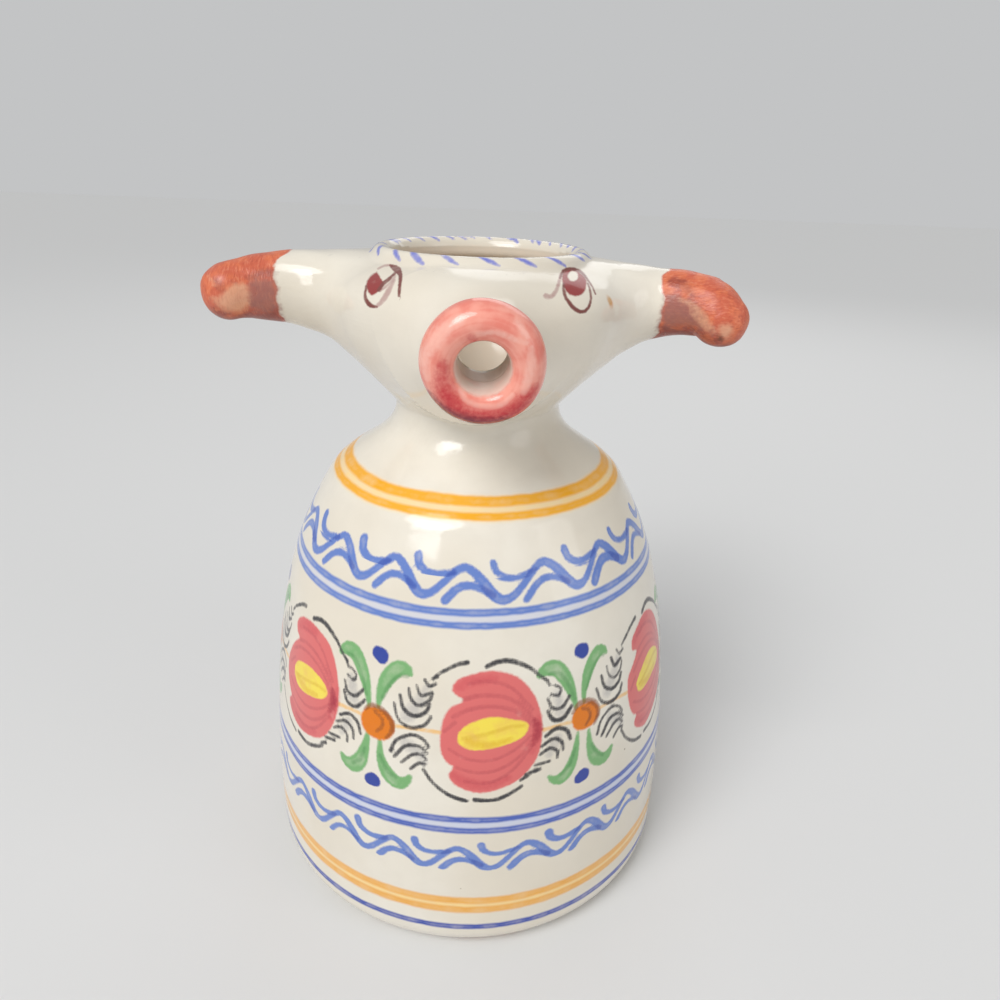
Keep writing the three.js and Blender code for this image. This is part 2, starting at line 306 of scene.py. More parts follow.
# The rows stand closer where the painting needs them.
FINE_BANDS = ((33, 46.5), (57.5, 104.5), (114.5, 130))
FINE_ROW, PLAIN_ROW, INSIDE_ROW, JAR_STEPS, JAR_WEDGES = 0.63, 2.4, 5, 576, 12
jar_heights = [FLOOR_THICKNESS]
while jar_heights[-1] < COLLAR_HEIGHT - 0.1:
    fine = any(low <= jar_heights[-1] < high for low, high in FINE_BANDS)
    jar_heights.append(min(jar_heights[-1] + (FINE_ROW if fine else PLAIN_ROW), COLLAR_HEIGHT))
jar_outside = [(radius_at(height), height) for height in jar_heights]
inside_rows = round((COLLAR_HEIGHT - FLOOR_THICKNESS) / INSIDE_ROW)
jar_inside = [
    (radius_at(height) - WALL_THICKNESS, float(height))
    for height in np.linspace(FLOOR_THICKNESS, COLLAR_HEIGHT, inside_rows)
]
jar = finish_mesh("jar", spun(jar_outside + jar_inside[::-1], JAR_STEPS, wedges=JAR_WEDGES))
shade_from(jar, wall_surface)
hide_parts("body_wall")
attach(jar, "root")


OUTSIDE_SHARE, INSIDE_SHARE, MAP_TOP = 0.84, 0.13, 0.99


def unrolled(piece):
    """A baking map of the wall unrolled: angle across, outside below, inside in a strip at the top."""
    data = piece.data
    places = places_of(piece)
    corners = read(data.loops, "vertex_index", int)
    starts, sides = read(data.polygons, "loop_start", int), read(data.polygons, "loop_total", int)
    around = (np.arctan2(places[:, 0], places[:, 1]) / math.tau % 1)[corners]
    turn = np.repeat(np.maximum.reduceat(around, starts) - np.minimum.reduceat(around, starts), sides)
    around += (turn > 0.5) & (around < 0.5)
    up = (places[:, 2] - FLOOR_THICKNESS) / (COLLAR_HEIGHT - FLOOR_THICKNESS)
    outer = wall_distance(places, WALL_THICKNESS / 2) > 0
    height = np.where(outer, up * OUTSIDE_SHARE, MAP_TOP - up * INSIDE_SHARE)[corners]
    underside = np.repeat(np.maximum.reduceat(up[corners], starts) < 1e-4, sides)
    height[underside & outer[corners]] = 1
    layer = data.uv_layers.new(name="OFBake")
    layer.data.foreach_set("uv", np.column_stack([around, height]).ravel().astype(np.float32))


unrolled(jar)


# The white tin glaze covers the pitcher down to its foot. It is a warm white that drifts in tone, lies
# in slow ripples with a fine pitted skin, and holds a few brown specks from the clay.
def new_group(name, inputs, outputs):
    group = bpy.data.node_groups.new(name, "ShaderNodeTree")
    for direction, sockets in (("INPUT", inputs), ("OUTPUT", outputs)):
        for title, kind in sockets.items():
            group.interface.new_socket(title, in_out=direction, socket_type="NodeSocket" + kind)
    return group, group.nodes.new("NodeGroupInput").outputs, group.nodes.new("NodeGroupOutput").inputs


def pigment(red, green, blue):
    """A colour given in the 0 to 255 of a screen, as the light that it sends back."""
    light = [((value / 255 + 0.055) / 1.055) ** 2.4 for value in (red, green, blue)]
    return (*light, 1)


def place_in_mm(tree):
    place = add_node(tree, "TexCoord").outputs["Object"]
    return add_node(tree, "VectorMath", {0: place, "Scale": 1 / MM}, operation="SCALE").outputs[0]


skin_group, _, skin = new_group("glaze skin", {}, {
    "Colour": "Color", "Roughness": "Float", "Normal": "Vector", "Hand": "Float", "Load": "Float",
    "Height": "Float",
})
place = place_in_mm(skin_group)
slow, mottle = noise(skin_group, place, 0.018), noise(skin_group, place, 0.16, 4)
hand, load = noise(skin_group, place, 1.0, 3), noise(skin_group, place, 0.22, 3)
warmth = ranged(skin_group, slow, 0.35, 0.65)
warm = mixed(skin_group, warmth, pigment(236, 230, 217), pigment(228, 219, 202))
tone = mixed(skin_group, ranged(skin_group, mottle, 0.3, 0.75, 0, 0.28), warm, pigment(222, 214, 199))
cells = add_node(skin_group, "TexVoronoi", {"Vector": place, "Scale": 0.085})
speck = calc(
    skin_group, "MULTIPLY",
    ranged(skin_group, cells.outputs["Distance"], 0.018, 0.04, 0.6, 0),
    ranged(skin_group, cells.outputs["Color"], 0.2, 0.32, 1, 0),
)
ripple = calc(skin_group, "MULTIPLY", noise(skin_group, place, 0.055, 1), 0.11)
pits = calc(skin_group, "MULTIPLY_ADD", noise(skin_group, place, 1.3, 2), 0.012, ripple)
bumpy = add_node(skin_group, "Bump", {"Height": pits, "Distance": MM, "Strength": 1.0})
drift = calc(skin_group, "MULTIPLY_ADD", slow, 1.6, -0.8)
height = add_node(skin_group, "SeparateXYZ", {0: place}).outputs["Z"]
for socket, value in {
    "Colour": mixed(skin_group, speck, tone, pigment(120, 88, 60)),
    "Roughness": ranged(skin_group, mottle, 0.3, 0.7, 0.06, 0.15),
    "Normal": bumpy.outputs["Normal"],
    "Hand": hand,
    "Load": load,
    "Height": calc(skin_group, "ADD", height, drift),
}.items():
    skin_group.links.new(value, skin[socket])


# Every painted mark is laid with a loaded brush on the raw glaze: its edge wavers a little, its colour
# thins and thickens along the stroke and gathers at the edge.
paint_group, paint_in, paint_out = new_group("paint layer", {
    "Under": "Color", "Field": "Float", "Pigment": "Color", "Cover": "Float", "Soft": "Float",
    "Pool": "Float", "Hand": "Float", "Load": "Float",
}, {"Colour": "Color"})
shake = calc(paint_group, "SUBTRACT", paint_in["Hand"], 0.5)
reach = calc(paint_group, "MULTIPLY", paint_in["Soft"], 1.3)
waver = calc(paint_group, "MULTIPLY_ADD", shake, reach, paint_in["Field"])
inner = calc(paint_group, "MULTIPLY", paint_in["Soft"], -1.0)
mask = ranged(paint_group, waver, inner, paint_in["Soft"], 1, 0)
edge = calc(paint_group, "MULTIPLY", ranged(paint_group, waver, -1.1, -0.1), paint_in["Pool"])
thick = calc(paint_group, "MULTIPLY_ADD", paint_in["Load"], 0.9, 0.5)
gathered = calc(paint_group, "MULTIPLY_ADD", edge, 0.5, thick)
cover = calc(paint_group, "MULTIPLY", paint_in["Cover"], gathered, clamp=True)
share = calc(paint_group, "MULTIPLY", cover, mask)
laid = mixed(paint_group, share, paint_in["Under"], paint_in["Pigment"])
paint_group.links.new(laid, paint_out["Colour"])


def attribute(tree, name):
    return add_node(tree, "Attribute", attribute_name=name).outputs["Fac"]


def bumped(tree, height, under):
    """The normals of a relief whose height is in mm, on top of the ones under it."""
    inputs = {"Height": height, "Distance": MM, "Strength": 1.0, "Normal": under}
    return add_node(tree, "Bump", inputs).outputs["Normal"]


def layered(tree, skin, colour, load, layers):
    """The colour under painted layers. A layer's field is an attribute or a turned line's height and
    half width; its pigment, cover, softness (mm) and pooling follow."""
    for field, tint, cover, soft, pool in layers:
        if isinstance(field, str):
            value, hand = attribute(tree, field), skin["Hand"]
        else:
            away = calc(tree, "ABSOLUTE", calc(tree, "SUBTRACT", skin["Height"], field[0]))
            value, hand = calc(tree, "SUBTRACT", away, field[1]), skin["Load"]
        colour = add_node(tree, "Group", node_tree=paint_group, inputs={
            "Under": colour, "Field": value, "Pigment": tint, "Cover": cover, "Soft": soft,
            "Pool": pool, "Hand": hand, "Load": load,
        }).outputs["Colour"]
    return colour


def painted_glaze(piece, name, layers=()):
    """Gives the piece white glaze under painted layers."""
    material, tree, shader = new_material(name)
    piece.data.materials.append(material)
    skin = add_node(tree, "Group", node_tree=skin_group).outputs
    colour = layered(tree, skin, skin["Colour"], skin["Load"], layers)
    tree.links.new(colour, shader.inputs["Base Color"])
    tree.links.new(skin["Roughness"], shader.inputs["Roughness"])
    tree.links.new(skin["Normal"], shader.inputs["Normal"])
    return tree, shader, colour, skin


# The painting on the wall. A stroke is a line of places with a half width at each, in mm on the
# unrolled wall. A field tells how far a place lies outside the nearest stroke, up to the far value.
FAR, EVERYWHERE = 3.0, slice(None)
hand_random = np.random.default_rng(11)


def read_off(marks, known, rows):
    """The rows as they are at the marks, between those of the known marks."""
    return np.column_stack([np.interp(marks, known, column) for column in rows.T])


def line_through(points, steps):
    """A smooth line through points, as rows of place and radius, evenly spaced along it."""
    points = np.array(points, float)
    padded = np.vstack([2 * points[0] - points[1], points, 2 * points[-1] - points[-2]])
    rows = []
    for share in np.linspace(0, len(points) - 1, 200):
        index = min(int(share), len(points) - 2)
        t = share - index
        p0, p1, p2, p3 = padded[index:index + 4]
        cubic = -p0 + 3 * p1 - 3 * p2 + p3
        square = 2 * p0 - 5 * p1 + 4 * p2 - p3
        rows.append((2 * p1 + (p2 - p0) * t + square * t * t + cubic * t ** 3) / 2)
    rows = np.array(rows)
    lengths = np.r_[0, np.cumsum(np.linalg.norm(np.diff(rows[:, :3], axis=0), axis=1))]
    marks = np.linspace(0, lengths[-1], steps)
    return marks, read_off(marks, lengths, rows)


def stroke(points, steps=15):
    """Rows of across, up and half width along a smooth brush stroke through the points."""
    rows = line_through([(across, up, 0, half) for across, up, half in points], steps)[1]
    return rows[:, (0, 1, 3)]


def by_hand(strokes, shift=0.22, swell=0.1):
    """The strokes as the hand repeats them: never twice in the same place or width."""
    return [
        (rows + (*hand_random.normal(0, shift, 2), 0)) * (1, 1, math.exp(hand_random.normal(0, swell)))
        for rows in strokes
    ]


def blank(points):
    """The nearest and the second nearest stroke's field at each point, with nothing painted."""
    return np.full((2, len(points)), FAR)


def paint(fields, here, points, strokes):
    """Lowers both fields where here says, at the points there: negative is painted."""
    drawn = fields[:, here]
    for rows in strokes:
        field = np.full(len(points), FAR)
        for start, end in zip(rows, rows[1:]):
            run, away = (end - start)[:2], points - start[:2]
            share = np.clip(away @ run / (run @ run + 1e-9), 0, 1)
            half = start[2] + (end[2] - start[2]) * share
            gap = ((away - share[:, None] * run) ** 2).sum(axis=1)
            field = np.minimum(field, (gap - half * half) / (2 * half))
        drawn[1] = np.minimum(drawn[1], np.maximum(drawn[0], field))
        drawn[0] = np.minimum(drawn[0], field)
    fields[:, here] = drawn


def filled(points, corners, steps=90):
    """How far points lie outside a smooth closed shape through the corners: negative inside."""
    rows = line_through([(*corner, 0, 0) for corner in (*corners, corners[0])], steps)[1][:, :2]
    nearest, crossings = np.full(len(points), FAR), np.zeros(len(points), int)
    for start, end in zip(rows, rows[1:]):
        run, away = end - start, points - start
        share = np.clip(away @ run / (run @ run + 1e-9), 0, 1)
        nearest = np.minimum(nearest, np.linalg.norm(away - share[:, None] * run, axis=1))
        passes = (start[1] > points[:, 1]) != (end[1] > points[:, 1])
        crossings += passes & (away[:, 0] < away[:, 1] * run[0] / (run[1] + 1e-9))
    return np.where(crossings % 2 == 1, -nearest, nearest)


def turned_angle(points):
    """Degrees from the front, towards the right."""
    return np.degrees(np.arctan2(points[:, 0], -points[:, 1]))


def wrapped(angle):
    return (angle + 180) % 360 - 180


# A wave runs round above and below the flowers, with a hook over and a hook under each crest. The
# motif's places are degrees from its crest in the upper band and mm from the wave's middle.
WAVE_PERIOD, WAVE_REACH = 22.5, 9
wave_run = [
    (0, 3.75, 1.05), (2.5, 2.9, 1.2), (5, 0.9, 1.35), (7.8, -2.2, 1.42), (10.5, -3.75, 1.25),
    (13.5, -2.9, 1.05), (17, 0, 0.95), (20, 2.6, 1.0),
]
wave_hooks = [
    [(-14.4, 5.2, 1.35), (-13.6, 3.2, 1.2), (-11, 1.8, 1.0), (-8, 1.5, 0.92), (-5, 2, 0.95),
     (-2.4, 2.6, 0.7)],
    [(-5.5, -4.6, 1.0), (-4.2, -3.2, 1.1), (-2.5, -1.6, 1.0), (0, -0.4, 1.0), (3, -0.5, 0.92),
     (5.5, -1.4, 0.92), (7.6, -2.4, 0.8)],
]
# Each band's number of crests, and its height and a crest's width in mm.
UPPER_WAVE, LOWER_WAVE = (16, 121, 20.2), (22, 38.75, 19.5)


def wave_fields(points, crests, middle, arc):
    """Nearest and second nearest fields of a wave of that many crests, each an arc of mm. The hand
    lets it wander a little up, down and along."""
    fields = blank(points)
    near = np.abs(points[:, 2] - middle) < WAVE_REACH
    angle, height = turned_angle(points[near]), points[near, 2] - middle
    across = angle * crests / 360 * arc
    height = height + 0.35 * np.sin(across * 0.081 + 1) + 0.2 * np.sin(across * 0.23)
    wander = 0.7 * np.sin(np.radians(angle) * 5 + 2)
    painted = fields[:, near]
    rows = stroke([
        ((degrees + turn * WAVE_PERIOD) * arc / WAVE_PERIOD, up, half)
        for turn in (-1, 0, 1) for degrees, up, half in wave_run
    ], 130)
    paint(painted, EVERYWHERE, np.column_stack([(across + wander) % arc, height]), [rows])
    for crest in range(crests):
        away = (across - crest * arc + crests * arc / 2) % (crests * arc) - crests * arc / 2
        here = np.abs(away + arc * 0.15) < arc * 0.75
        hooks = by_hand([
            stroke([(degrees * arc / WAVE_PERIOD, up, half) for degrees, up, half in hook])
            for hook in wave_hooks
        ])
        paint(painted, here, np.column_stack([(away + wander)[here], height[here]]), hooks)
    fields[:, near] = painted
    return fields


# Seven flowers go round the belly, each with an orange bead, four leaves and two dots at its left and
# shells of fine black strokes between. The places are degrees and mm as they stand at the front, with
# a half width in mm where the brush is pressed.
FLOWERS, FLOWER_ANGLE, FLOWER_HEIGHT, DEGREE, THINNEST = 7, 7.6, 80, 1.16, 0.52
FRONT_SPREAD, FRONT_SHARE = 2.865, 0.95
FLOWER_LEFT, FLOWER_RIGHT, FLOWER_REACH = -43, 37, 25
petals = [
    (-2.6, 93.4), (-1.8, 95.6), (1.2, 97.6), (7.2, 98.8), (14, 96.2), (18.4, 89.5), (19.8, 80),
    (18.8, 71.5), (14, 65.6), (5.4, 62.5), (0.4, 63.6), (-2, 65.6), (-2.5, 68), (-1.4, 69.8),
    (-3.2, 71.6), (-5, 75), (-5.9, 80), (-4.9, 84.6), (-2.6, 88), (0.2, 90.3), (-1.6, 91.4),
]
lens = [
    (-1.3, 80.6), (1.4, 83.6), (7, 85.7), (13, 84.6), (16, 81.6), (14.4, 78.8), (9, 77), (2.6, 76),
    (-0.2, 77.6),
]
flower_strokes = {
    "petal_line": [
        [(0.2, 90.5), (5, 92), (10.5, 91), (15, 87.2), (17.6, 82.5)],
        [(1.5, 95.4), (7, 96.2), (12.5, 93.6), (17.4, 86.5)],
        [(-2.6, 85.4), (2, 88.3), (8, 88.9), (13.6, 86.3), (16.8, 82)],
        [(-4.3, 80.5), (-2.6, 82.4), (-1.6, 83.5)],
        [(-1.2, 70.2), (4, 68.9), (9.6, 69.8), (14.4, 73), (17.3, 77.5)],
        [(1.2, 65.8), (7, 65.4), (12.6, 68.6), (17.2, 75)],
        [(-3, 75.4), (1.5, 73), (7.4, 72.6), (13, 75), (16.6, 78.2)],
    ],
    "petal_deep": [
        [(-1.2, 67.6, 1.1), (1.6, 65.6, 1.6), (7, 64.6, 1.2), (12, 66.4, 0.7)],
        [(-0.6, 94.2, 0.9), (3, 96.4, 1.3), (8.5, 97, 0.9)],
        [(19.2, 84, 0.7), (18.6, 79, 1.3), (17.6, 74, 0.8)],
    ],
    "calyx": [[(17.6, 83, 0.7), (18.4, 80.6, 1.4), (18.2, 78.2, 1.4), (17.4, 75.8, 0.6)]],
    "lens_line": [[(0, 79.2), (5, 80.6, 0.6), (11, 82.2, 0.55), (14.8, 81.9)]],
    "shell_wash": [
        [(-14, 84, 2.0), (-10.8, 88.6, 1.7), (-9, 92.6, 1.0)],
        [(-13.6, 75.6, 1.7), (-10.2, 73.2, 1.5), (-8.6, 70.4, 0.8)],
        [(24.6, 84.6, 1.8), (24, 89.8, 1.2)],
        [(24, 76, 1.6), (22.2, 72, 1.1)],
    ],
    "lens_low": [[(1.4, 78.7, 0.9), (6, 77.7, 0.9), (11.6, 78.8)]],
    "stem": [
        [(-21, 80.2, 0.6), (-13, 80.5), (-5.6, 80.2, 0.6)],
        [(19.6, 79.8, 0.6), (26, 80.3), (31, 80.2, 0.6)],
    ],
    "bead": [[(-22.6, 80.1, 4.6), (-21.2, 80, 4.6)]],
    "crescent": [
        [(-25.6, 82.4), (-23.6, 84.5, 0.8), (-20.4, 84.1, 0.9), (-18, 81.6, 0.9), (-17.6, 78.6, 0.8),
         (-19, 76)],
        [(-22.8, 83), (-20.8, 81.6, 0.6), (-20.4, 79.2, 0.6), (-21.8, 77.2)],
    ],
    "leaf": [
        [(-24.6, 83.6, 0.6), (-25.2, 88, 1.3), (-26.8, 93.2, 2.1), (-29.6, 97.2, 2.3),
         (-32.8, 97.6, 1.9), (-34.6, 96, 0.9)],
        [(-21.8, 84, 0.6), (-21.4, 88, 1.2), (-19.7, 93, 2.1), (-16.9, 96.8, 2.2), (-14.4, 97.2, 1.6),
         (-13.1, 96, 0.8)],
        [(-24.1, 76, 0.6), (-24.5, 71, 1.3), (-25.7, 66, 2.0), (-28, 62.9, 2.1), (-30.3, 62.9, 1.5),
         (-31.6, 64.3, 0.8)],
        [(-21, 75.4, 0.6), (-20.4, 70, 1.3), (-18.4, 65.2, 2.1), (-15.8, 63, 2.0), (-13.6, 63.9, 1.4),
         (-12.6, 65.6, 0.8)],
    ],
    "leaf_line": [
        [(-25.4, 87), (-27, 92), (-29.6, 96), (-32.4, 96.2)],
        [(-21, 88), (-19, 92.6), (-16.4, 95.6), (-14.2, 95.8)],
        [(-24.8, 71), (-26, 66.6), (-28.4, 64)],
        [(-20, 70), (-18, 66), (-15.8, 64.2)],
    ],
    "dot": [[(-23.3, 100.4, 2.0), (-21.9, 99.9, 2.4)], [(-23.1, 60.3, 1.9), (-22.2, 60.8, 2.2)]],
    "black": [
        [(1.3, 101, 0.69), (-1.5, 100, 0.59), (-5.5, 97.3)],
        [(-6.3, 96.6, 0.64), (-7.4, 95.7, 0.54)],
        [(5.9, 100.2, 0.69), (9, 101.4, 0.74), (12.5, 101, 0.74), (17.2, 98.3, 0.64),
         (19.6, 95.8, 0.54), (21.6, 94, 0.69), (22.2, 92.5)],
        [(1.5, 59.5, 0.69), (-2.5, 61, 0.64), (-6.2, 64.3, 0.54), (-8.6, 68.3, 0.54)],
        [(3.5, 60.2, 0.74), (8, 59.9, 0.64), (12, 61.4, 0.59), (15, 63.2)],
        [(14.6, 64.4), (16.4, 65.4, 0.64)],
        [(16.2, 66.8), (19.6, 67.5, 0.64)],
        [(17.8, 69), (21.6, 69.3, 0.64)],
        [(-17.6, 87.4), (-16.4, 83, 0.54), (-13.2, 81, 0.64), (-9.6, 82.2, 0.59), (-8, 85)],
        [(-15.8, 90), (-15, 86.4, 0.64), (-12.4, 84.4, 0.64), (-9.4, 85.6, 0.59), (-8.2, 88)],
        [(-13.6, 92, 0.54), (-13, 89, 0.64), (-11, 87.4, 0.64), (-8.4, 89, 0.59), (-7.4, 91.4)],
        [(-11.6, 93.8, 0.54), (-10.4, 91, 0.64), (-7.8, 92.2)],
        [(-9.6, 95.2, 0.54), (-8.4, 93.6), (-6.8, 94.4)],
        [(-17.6, 72.2, 0.64), (-16.4, 76, 0.54), (-12.6, 78.4, 0.59), (-9.4, 77.2), (-8.2, 75.2)],
        [(-16.6, 71, 0.64), (-14, 75, 0.69), (-10.6, 75.4, 0.6), (-8.4, 73.6)],
        [(-14.4, 69.6, 0.54), (-11.8, 72.6, 0.69), (-9.6, 73, 0.55), (-8.2, 71.6)],
        [(-12, 67.9), (-10, 70.1, 0.6), (-8.4, 70)],
        [(22.6, 90.2), (24.6, 89.4, 0.54), (25.4, 91.4), (23.8, 92.6)],
        [(21.5, 88.2), (22.6, 85.4, 0.59), (25.2, 85, 0.59), (27.6, 88)],
        [(21.4, 85), (22.8, 82.2, 0.64), (25.6, 82, 0.64), (28.2, 85.2)],
        [(20.6, 77), (23.6, 78.8, 0.59), (26.4, 77.4, 0.64), (27.6, 74.4)],
        [(20, 74.4, 0.54), (23, 76, 0.64), (25.4, 74.6, 0.64), (26, 71.8)],
        [(19.4, 71.8, 0.54), (22, 73.2, 0.64), (24, 71.8, 0.59), (24.2, 69.6)],
    ],
}
jar_places = places_of(jar)
outer_jar = wall_distance(jar_places, WALL_THICKNESS / 2) > 0
jar_fields = {name: blank(jar_places) for name in (*flower_strokes, "petals", "lens")}
angle = turned_angle(jar_places)
spread_angle = angle - FRONT_SPREAD * np.sin(np.radians(angle)) - FLOWER_ANGLE * FRONT_SHARE
for flower in range(FLOWERS):
    across = (FLOWER_ANGLE + wrapped(spread_angle - flower * 360 / FLOWERS) / FRONT_SHARE) * DEGREE
    in_band = np.abs(jar_places[:, 2] - FLOWER_HEIGHT) < FLOWER_REACH
    here = outer_jar & in_band & (across > FLOWER_LEFT) & (across < FLOWER_RIGHT)
    points = np.column_stack([across, jar_places[:, 2]])[here]
    points += 0.3 * np.sin(points[:, ::-1] * 0.21 + (flower, flower * 2))
    for name, strokes in flower_strokes.items():
        rows = [
            stroke([(degrees * DEGREE, up, *(pressed or [THINNEST])) for degrees, up, *pressed in marks])
            for marks in strokes
        ]
        paint(jar_fields[name], here, points, by_hand(rows))
    for name, shape in (("petals", petals), ("lens", lens)):
        uneven = hand_random.normal(0, 0.3, (len(shape), 2))
        corners = [(degrees * DEGREE, up) for degrees, up in shape] + uneven
        drawn = jar_fields[name][0, here]
        jar_fields[name][0, here] = np.minimum(drawn, filled(points, corners))
outside_only = np.where(outer_jar[:, None], jar_places, 0)
waves = np.minimum(wave_fields(outside_only, *LOWER_WAVE), wave_fields(outside_only, *UPPER_WAVE))


WHITE_LIP_FOOT = 197.4


def store(piece, name, values):
    values = np.clip(values, -FAR, FAR).astype(np.float32)
    piece.data.attributes.new(name, "FLOAT", "POINT").data.foreach_set("value", values)


def store_inside(piece):
    """The inside is coloured beige from just below the white lip down."""
    points = places_of(piece)
    below_lip = points[:, 2] - WHITE_LIP_FOOT
    store(piece, "inside", np.maximum(wall_distance(points, WALL_THICKNESS / 2), below_lip))


for name, fields in jar_fields.items():
    store(jar, name, fields[0])
for name, field in zip(("wave", "wave_twice"), waves):
    store(jar, name, field)
store_inside(jar)
BLUE, DEEP_BLUE, BLUE_WASH = pigment(106, 133, 200), pigment(50, 76, 168), pigment(198, 206, 232)
MID_BLUE = pigment(76, 100, 182)
YELLOW, PALE_YELLOW, YELLOW_WASH = pigment(244, 176, 52), pigment(238, 172, 78), pigment(250, 216, 150)
INSIDE_LAYER = ("inside", pigment(238, 222, 202), 0.8, 1.2, 0)
WAVE_LAYERS = [("wave", BLUE, 0.8, 0.35, 0.9), ("wave_twice", DEEP_BLUE, 0.6, 0.4, 0.3)]
painted_glaze(jar, "jar glaze", [
    ((112, 1.9), BLUE_WASH, 0.5, 0.8, 0),
    ((113.7, 0.95), BLUE, 0.85, 0.4, 0.6),
    ((110.4, 0.9), BLUE, 0.85, 0.4, 0.6),
    ((50.8, 2.4), BLUE_WASH, 0.75, 0.8, 0),
    ((52.7, 1.0), MID_BLUE, 0.85, 0.5, 0.6),
    ((48.9, 1.0), MID_BLUE, 0.85, 0.5, 0.6),
    ((20, 2.6), YELLOW_WASH, 1.0, 0.9, 0),
    ((21.8, 1.3), PALE_YELLOW, 0.85, 0.7, 0.4),
    ((18, 1.3), PALE_YELLOW, 0.85, 0.7, 0.4),
    ((10.6, 1.1), DEEP_BLUE, 0.85, 0.5, 0.4),
    *WAVE_LAYERS,
    ("stem", pigment(240, 190, 118), 0.85, 0.45, 0.3),
    ("leaf", pigment(122, 176, 114), 0.95, 0.4, 0.8),
    ("leaf_line", pigment(74, 136, 76), 0.65, 0.6, 0),
    ("bead", pigment(226, 122, 2), 1.4, 0.5, 0.3),
    ("crescent", pigment(142, 72, 18), 0.8, 0.5, 0.2),
    ("petals", pigment(222, 110, 108), 1.25, 0.45, 0.3),
    ("petal_deep", pigment(200, 62, 76), 0.5, 1.3, 0),
    ("petal_line", pigment(176, 66, 78), 0.5, 0.55, 0),
    ("calyx", pigment(168, 44, 62), 1.0, 1.0, 0),
    ("lens", pigment(246, 222, 80), 1.0, 0.4, 0),
    ("lens_low", pigment(226, 178, 30), 0.7, 0.9, 0),
    ("lens_line", pigment(216, 170, 26), 0.6, 0.6, 0),
    ("dot", pigment(46, 68, 156), 1.3, 0.35, 0.4),
    ("shell_wash", pigment(158, 156, 158), 0.5, 1.4, 0),
    ("black", pigment(58, 57, 60), 1.05, 0.36, 0.2),
    INSIDE_LAYER,
])


# The shoulder, the neck, the head with its lip and muzzle, the horns and the handle are luted
# together leather-hard and fettled until no joint shows. One field of distances, in mm, describes the
# whole clay surface, and each piece is cut out of the same skin where a potter would have joined it.
BORE_START = np.array([0, 0, CHEEK_HEIGHT + 2.1])
BORE_DROOP, BORE_TURN, BORE_RADIUS = math.radians(8), math.radians(3), 6.2
BORE_AXIS = np.array([
    math.cos(BORE_DROOP) * math.sin(BORE_TURN),
    -math.cos(BORE_DROOP) * math.cos(BORE_TURN),
    -math.sin(BORE_DROOP),
])
FUNNEL_REACHES, FUNNEL_RADIUS, BORE_BACK = (33, 45), 11, 20
MUZZLE_END_REACH, MUZZLE_END_RADIUS, MUZZLE_ROOT_RADIUS, MUZZLE_BACK, SLIP = 51.4, 12.6, 20, 9, 0.28
HANDLE_FILLET, MUZZLE_FILLET, HORN_FILLET, LIP_FILLET, CUT_EDGE, BORE_EDGE = 7, 9, 8, 1.6, 2.5, 0.5
HORN_TOP, MOUTH_FOOT, SKIRT, LIP_MEAN_RADIUS, FLARE_STEEPNESS = 198.1, 193.6, 4, 2.7, 0.95
MUZZLE_ROOT = np.array([0, -31, 178])


def nearest_on(points, marks, line):
    """For each point, the line's nearest place and its radius there, by a few steps along the line."""
    tangents = np.gradient(line[:, :3], marks, axis=0)
    coarse = slice(None, None, 12)
    gaps = ((points[:, None] - line[None, coarse, :3]) ** 2).sum(axis=2)
    along = marks[coarse][gaps.argmin(axis=1)]
    for _ in range(4):
        away = points - read_off(along, marks, line[:, :3])
        tangent = read_off(along, marks, tangents)
        along = np.clip(along + (away * tangent).sum(axis=1), 0, marks[-1])
    return read_off(along, marks, line[:, :3]), np.interp(along, marks, line[:, 3])


def horn_line(hand, steps, radii, tip_round):
    """A horn's middle line, from steps out, forward and up from the cheek, short of its round tip."""
    places = [
        (hand * (CHEEK_RADIUS + out), -forward, CHEEK_HEIGHT + up, radius)
        for (out, forward, up), radius in zip(steps, radii)
    ]
    marks, line = line_through(places, 90)
    kept = marks <= marks[-1] - tip_round - 0.5
    return marks[kept], line[kept]


horn_lines = {
    "horn_left": horn_line(
        -1,
        [(-12, 0, -2), (-0.5, 1, 0.3), (12, 3, 1.7), (22, 7, 1.6), (28.5, 11, 0.7), (32.9, 14.4, -0.4)],
        [15, 12.6, 10.4, 8.5, 7.6, 6.9],
        6.9,
    ),
    "horn_right": horn_line(
        1,
        [(-12, 0, -2.5), (-1.9, 1, -0.6), (8, 2.4, 0.9), (17, 6, 1.6), (23, 10, 0.2), (28.4, 15, -6.4)],
        [15, 12.4, 9.9, 8.7, 7.9, 6.5],
        6.2,
    ),
}
HANDLE_REACH, HANDLE_HALF_WIDTH, HANDLE_HALF_THICKNESS, HANDLE_FLARE = 66, 11.5, 4.4, 0.45
handle_marks, handle_line = line_through([
    (0, CHEEK_RADIUS - 8, CHEEK_HEIGHT - 2.5, 0),
    (0, CHEEK_RADIUS + 5.5, CHEEK_HEIGHT + 1.5, 0),
    (0, HANDLE_REACH - 5, CHEEK_HEIGHT - 4, 0),
    (0, HANDLE_REACH, CHEEK_HEIGHT - 18.5, 0),
    (0, HANDLE_REACH - 5, NECK_HEIGHT - 6.5, 0),
    (0, SHOULDER_RADIUS + 1, SHOULDER_HEIGHT, 0),
    (0, SHOULDER_RADIUS - 8, SHOULDER_HEIGHT - 8, 0),
], 90)
handle_share = np.linspace(-1, 1, len(handle_line))
handle_line[:, 3] = HANDLE_HALF_WIDTH * (1 + HANDLE_FLARE * handle_share ** 6)


def blended(first, second, width):
    """The union of two distance fields with a fettled fillet of that width."""
    overlap = np.maximum(0, 1 - np.abs(first - second) / width)
    return np.minimum(first, second) - width * overlap * overlap / 4


def cut_by(field, cutter, width):
    """The first distance field with the second cut away, its edge rounded by that width."""
    return -blended(-field, cutter, width)


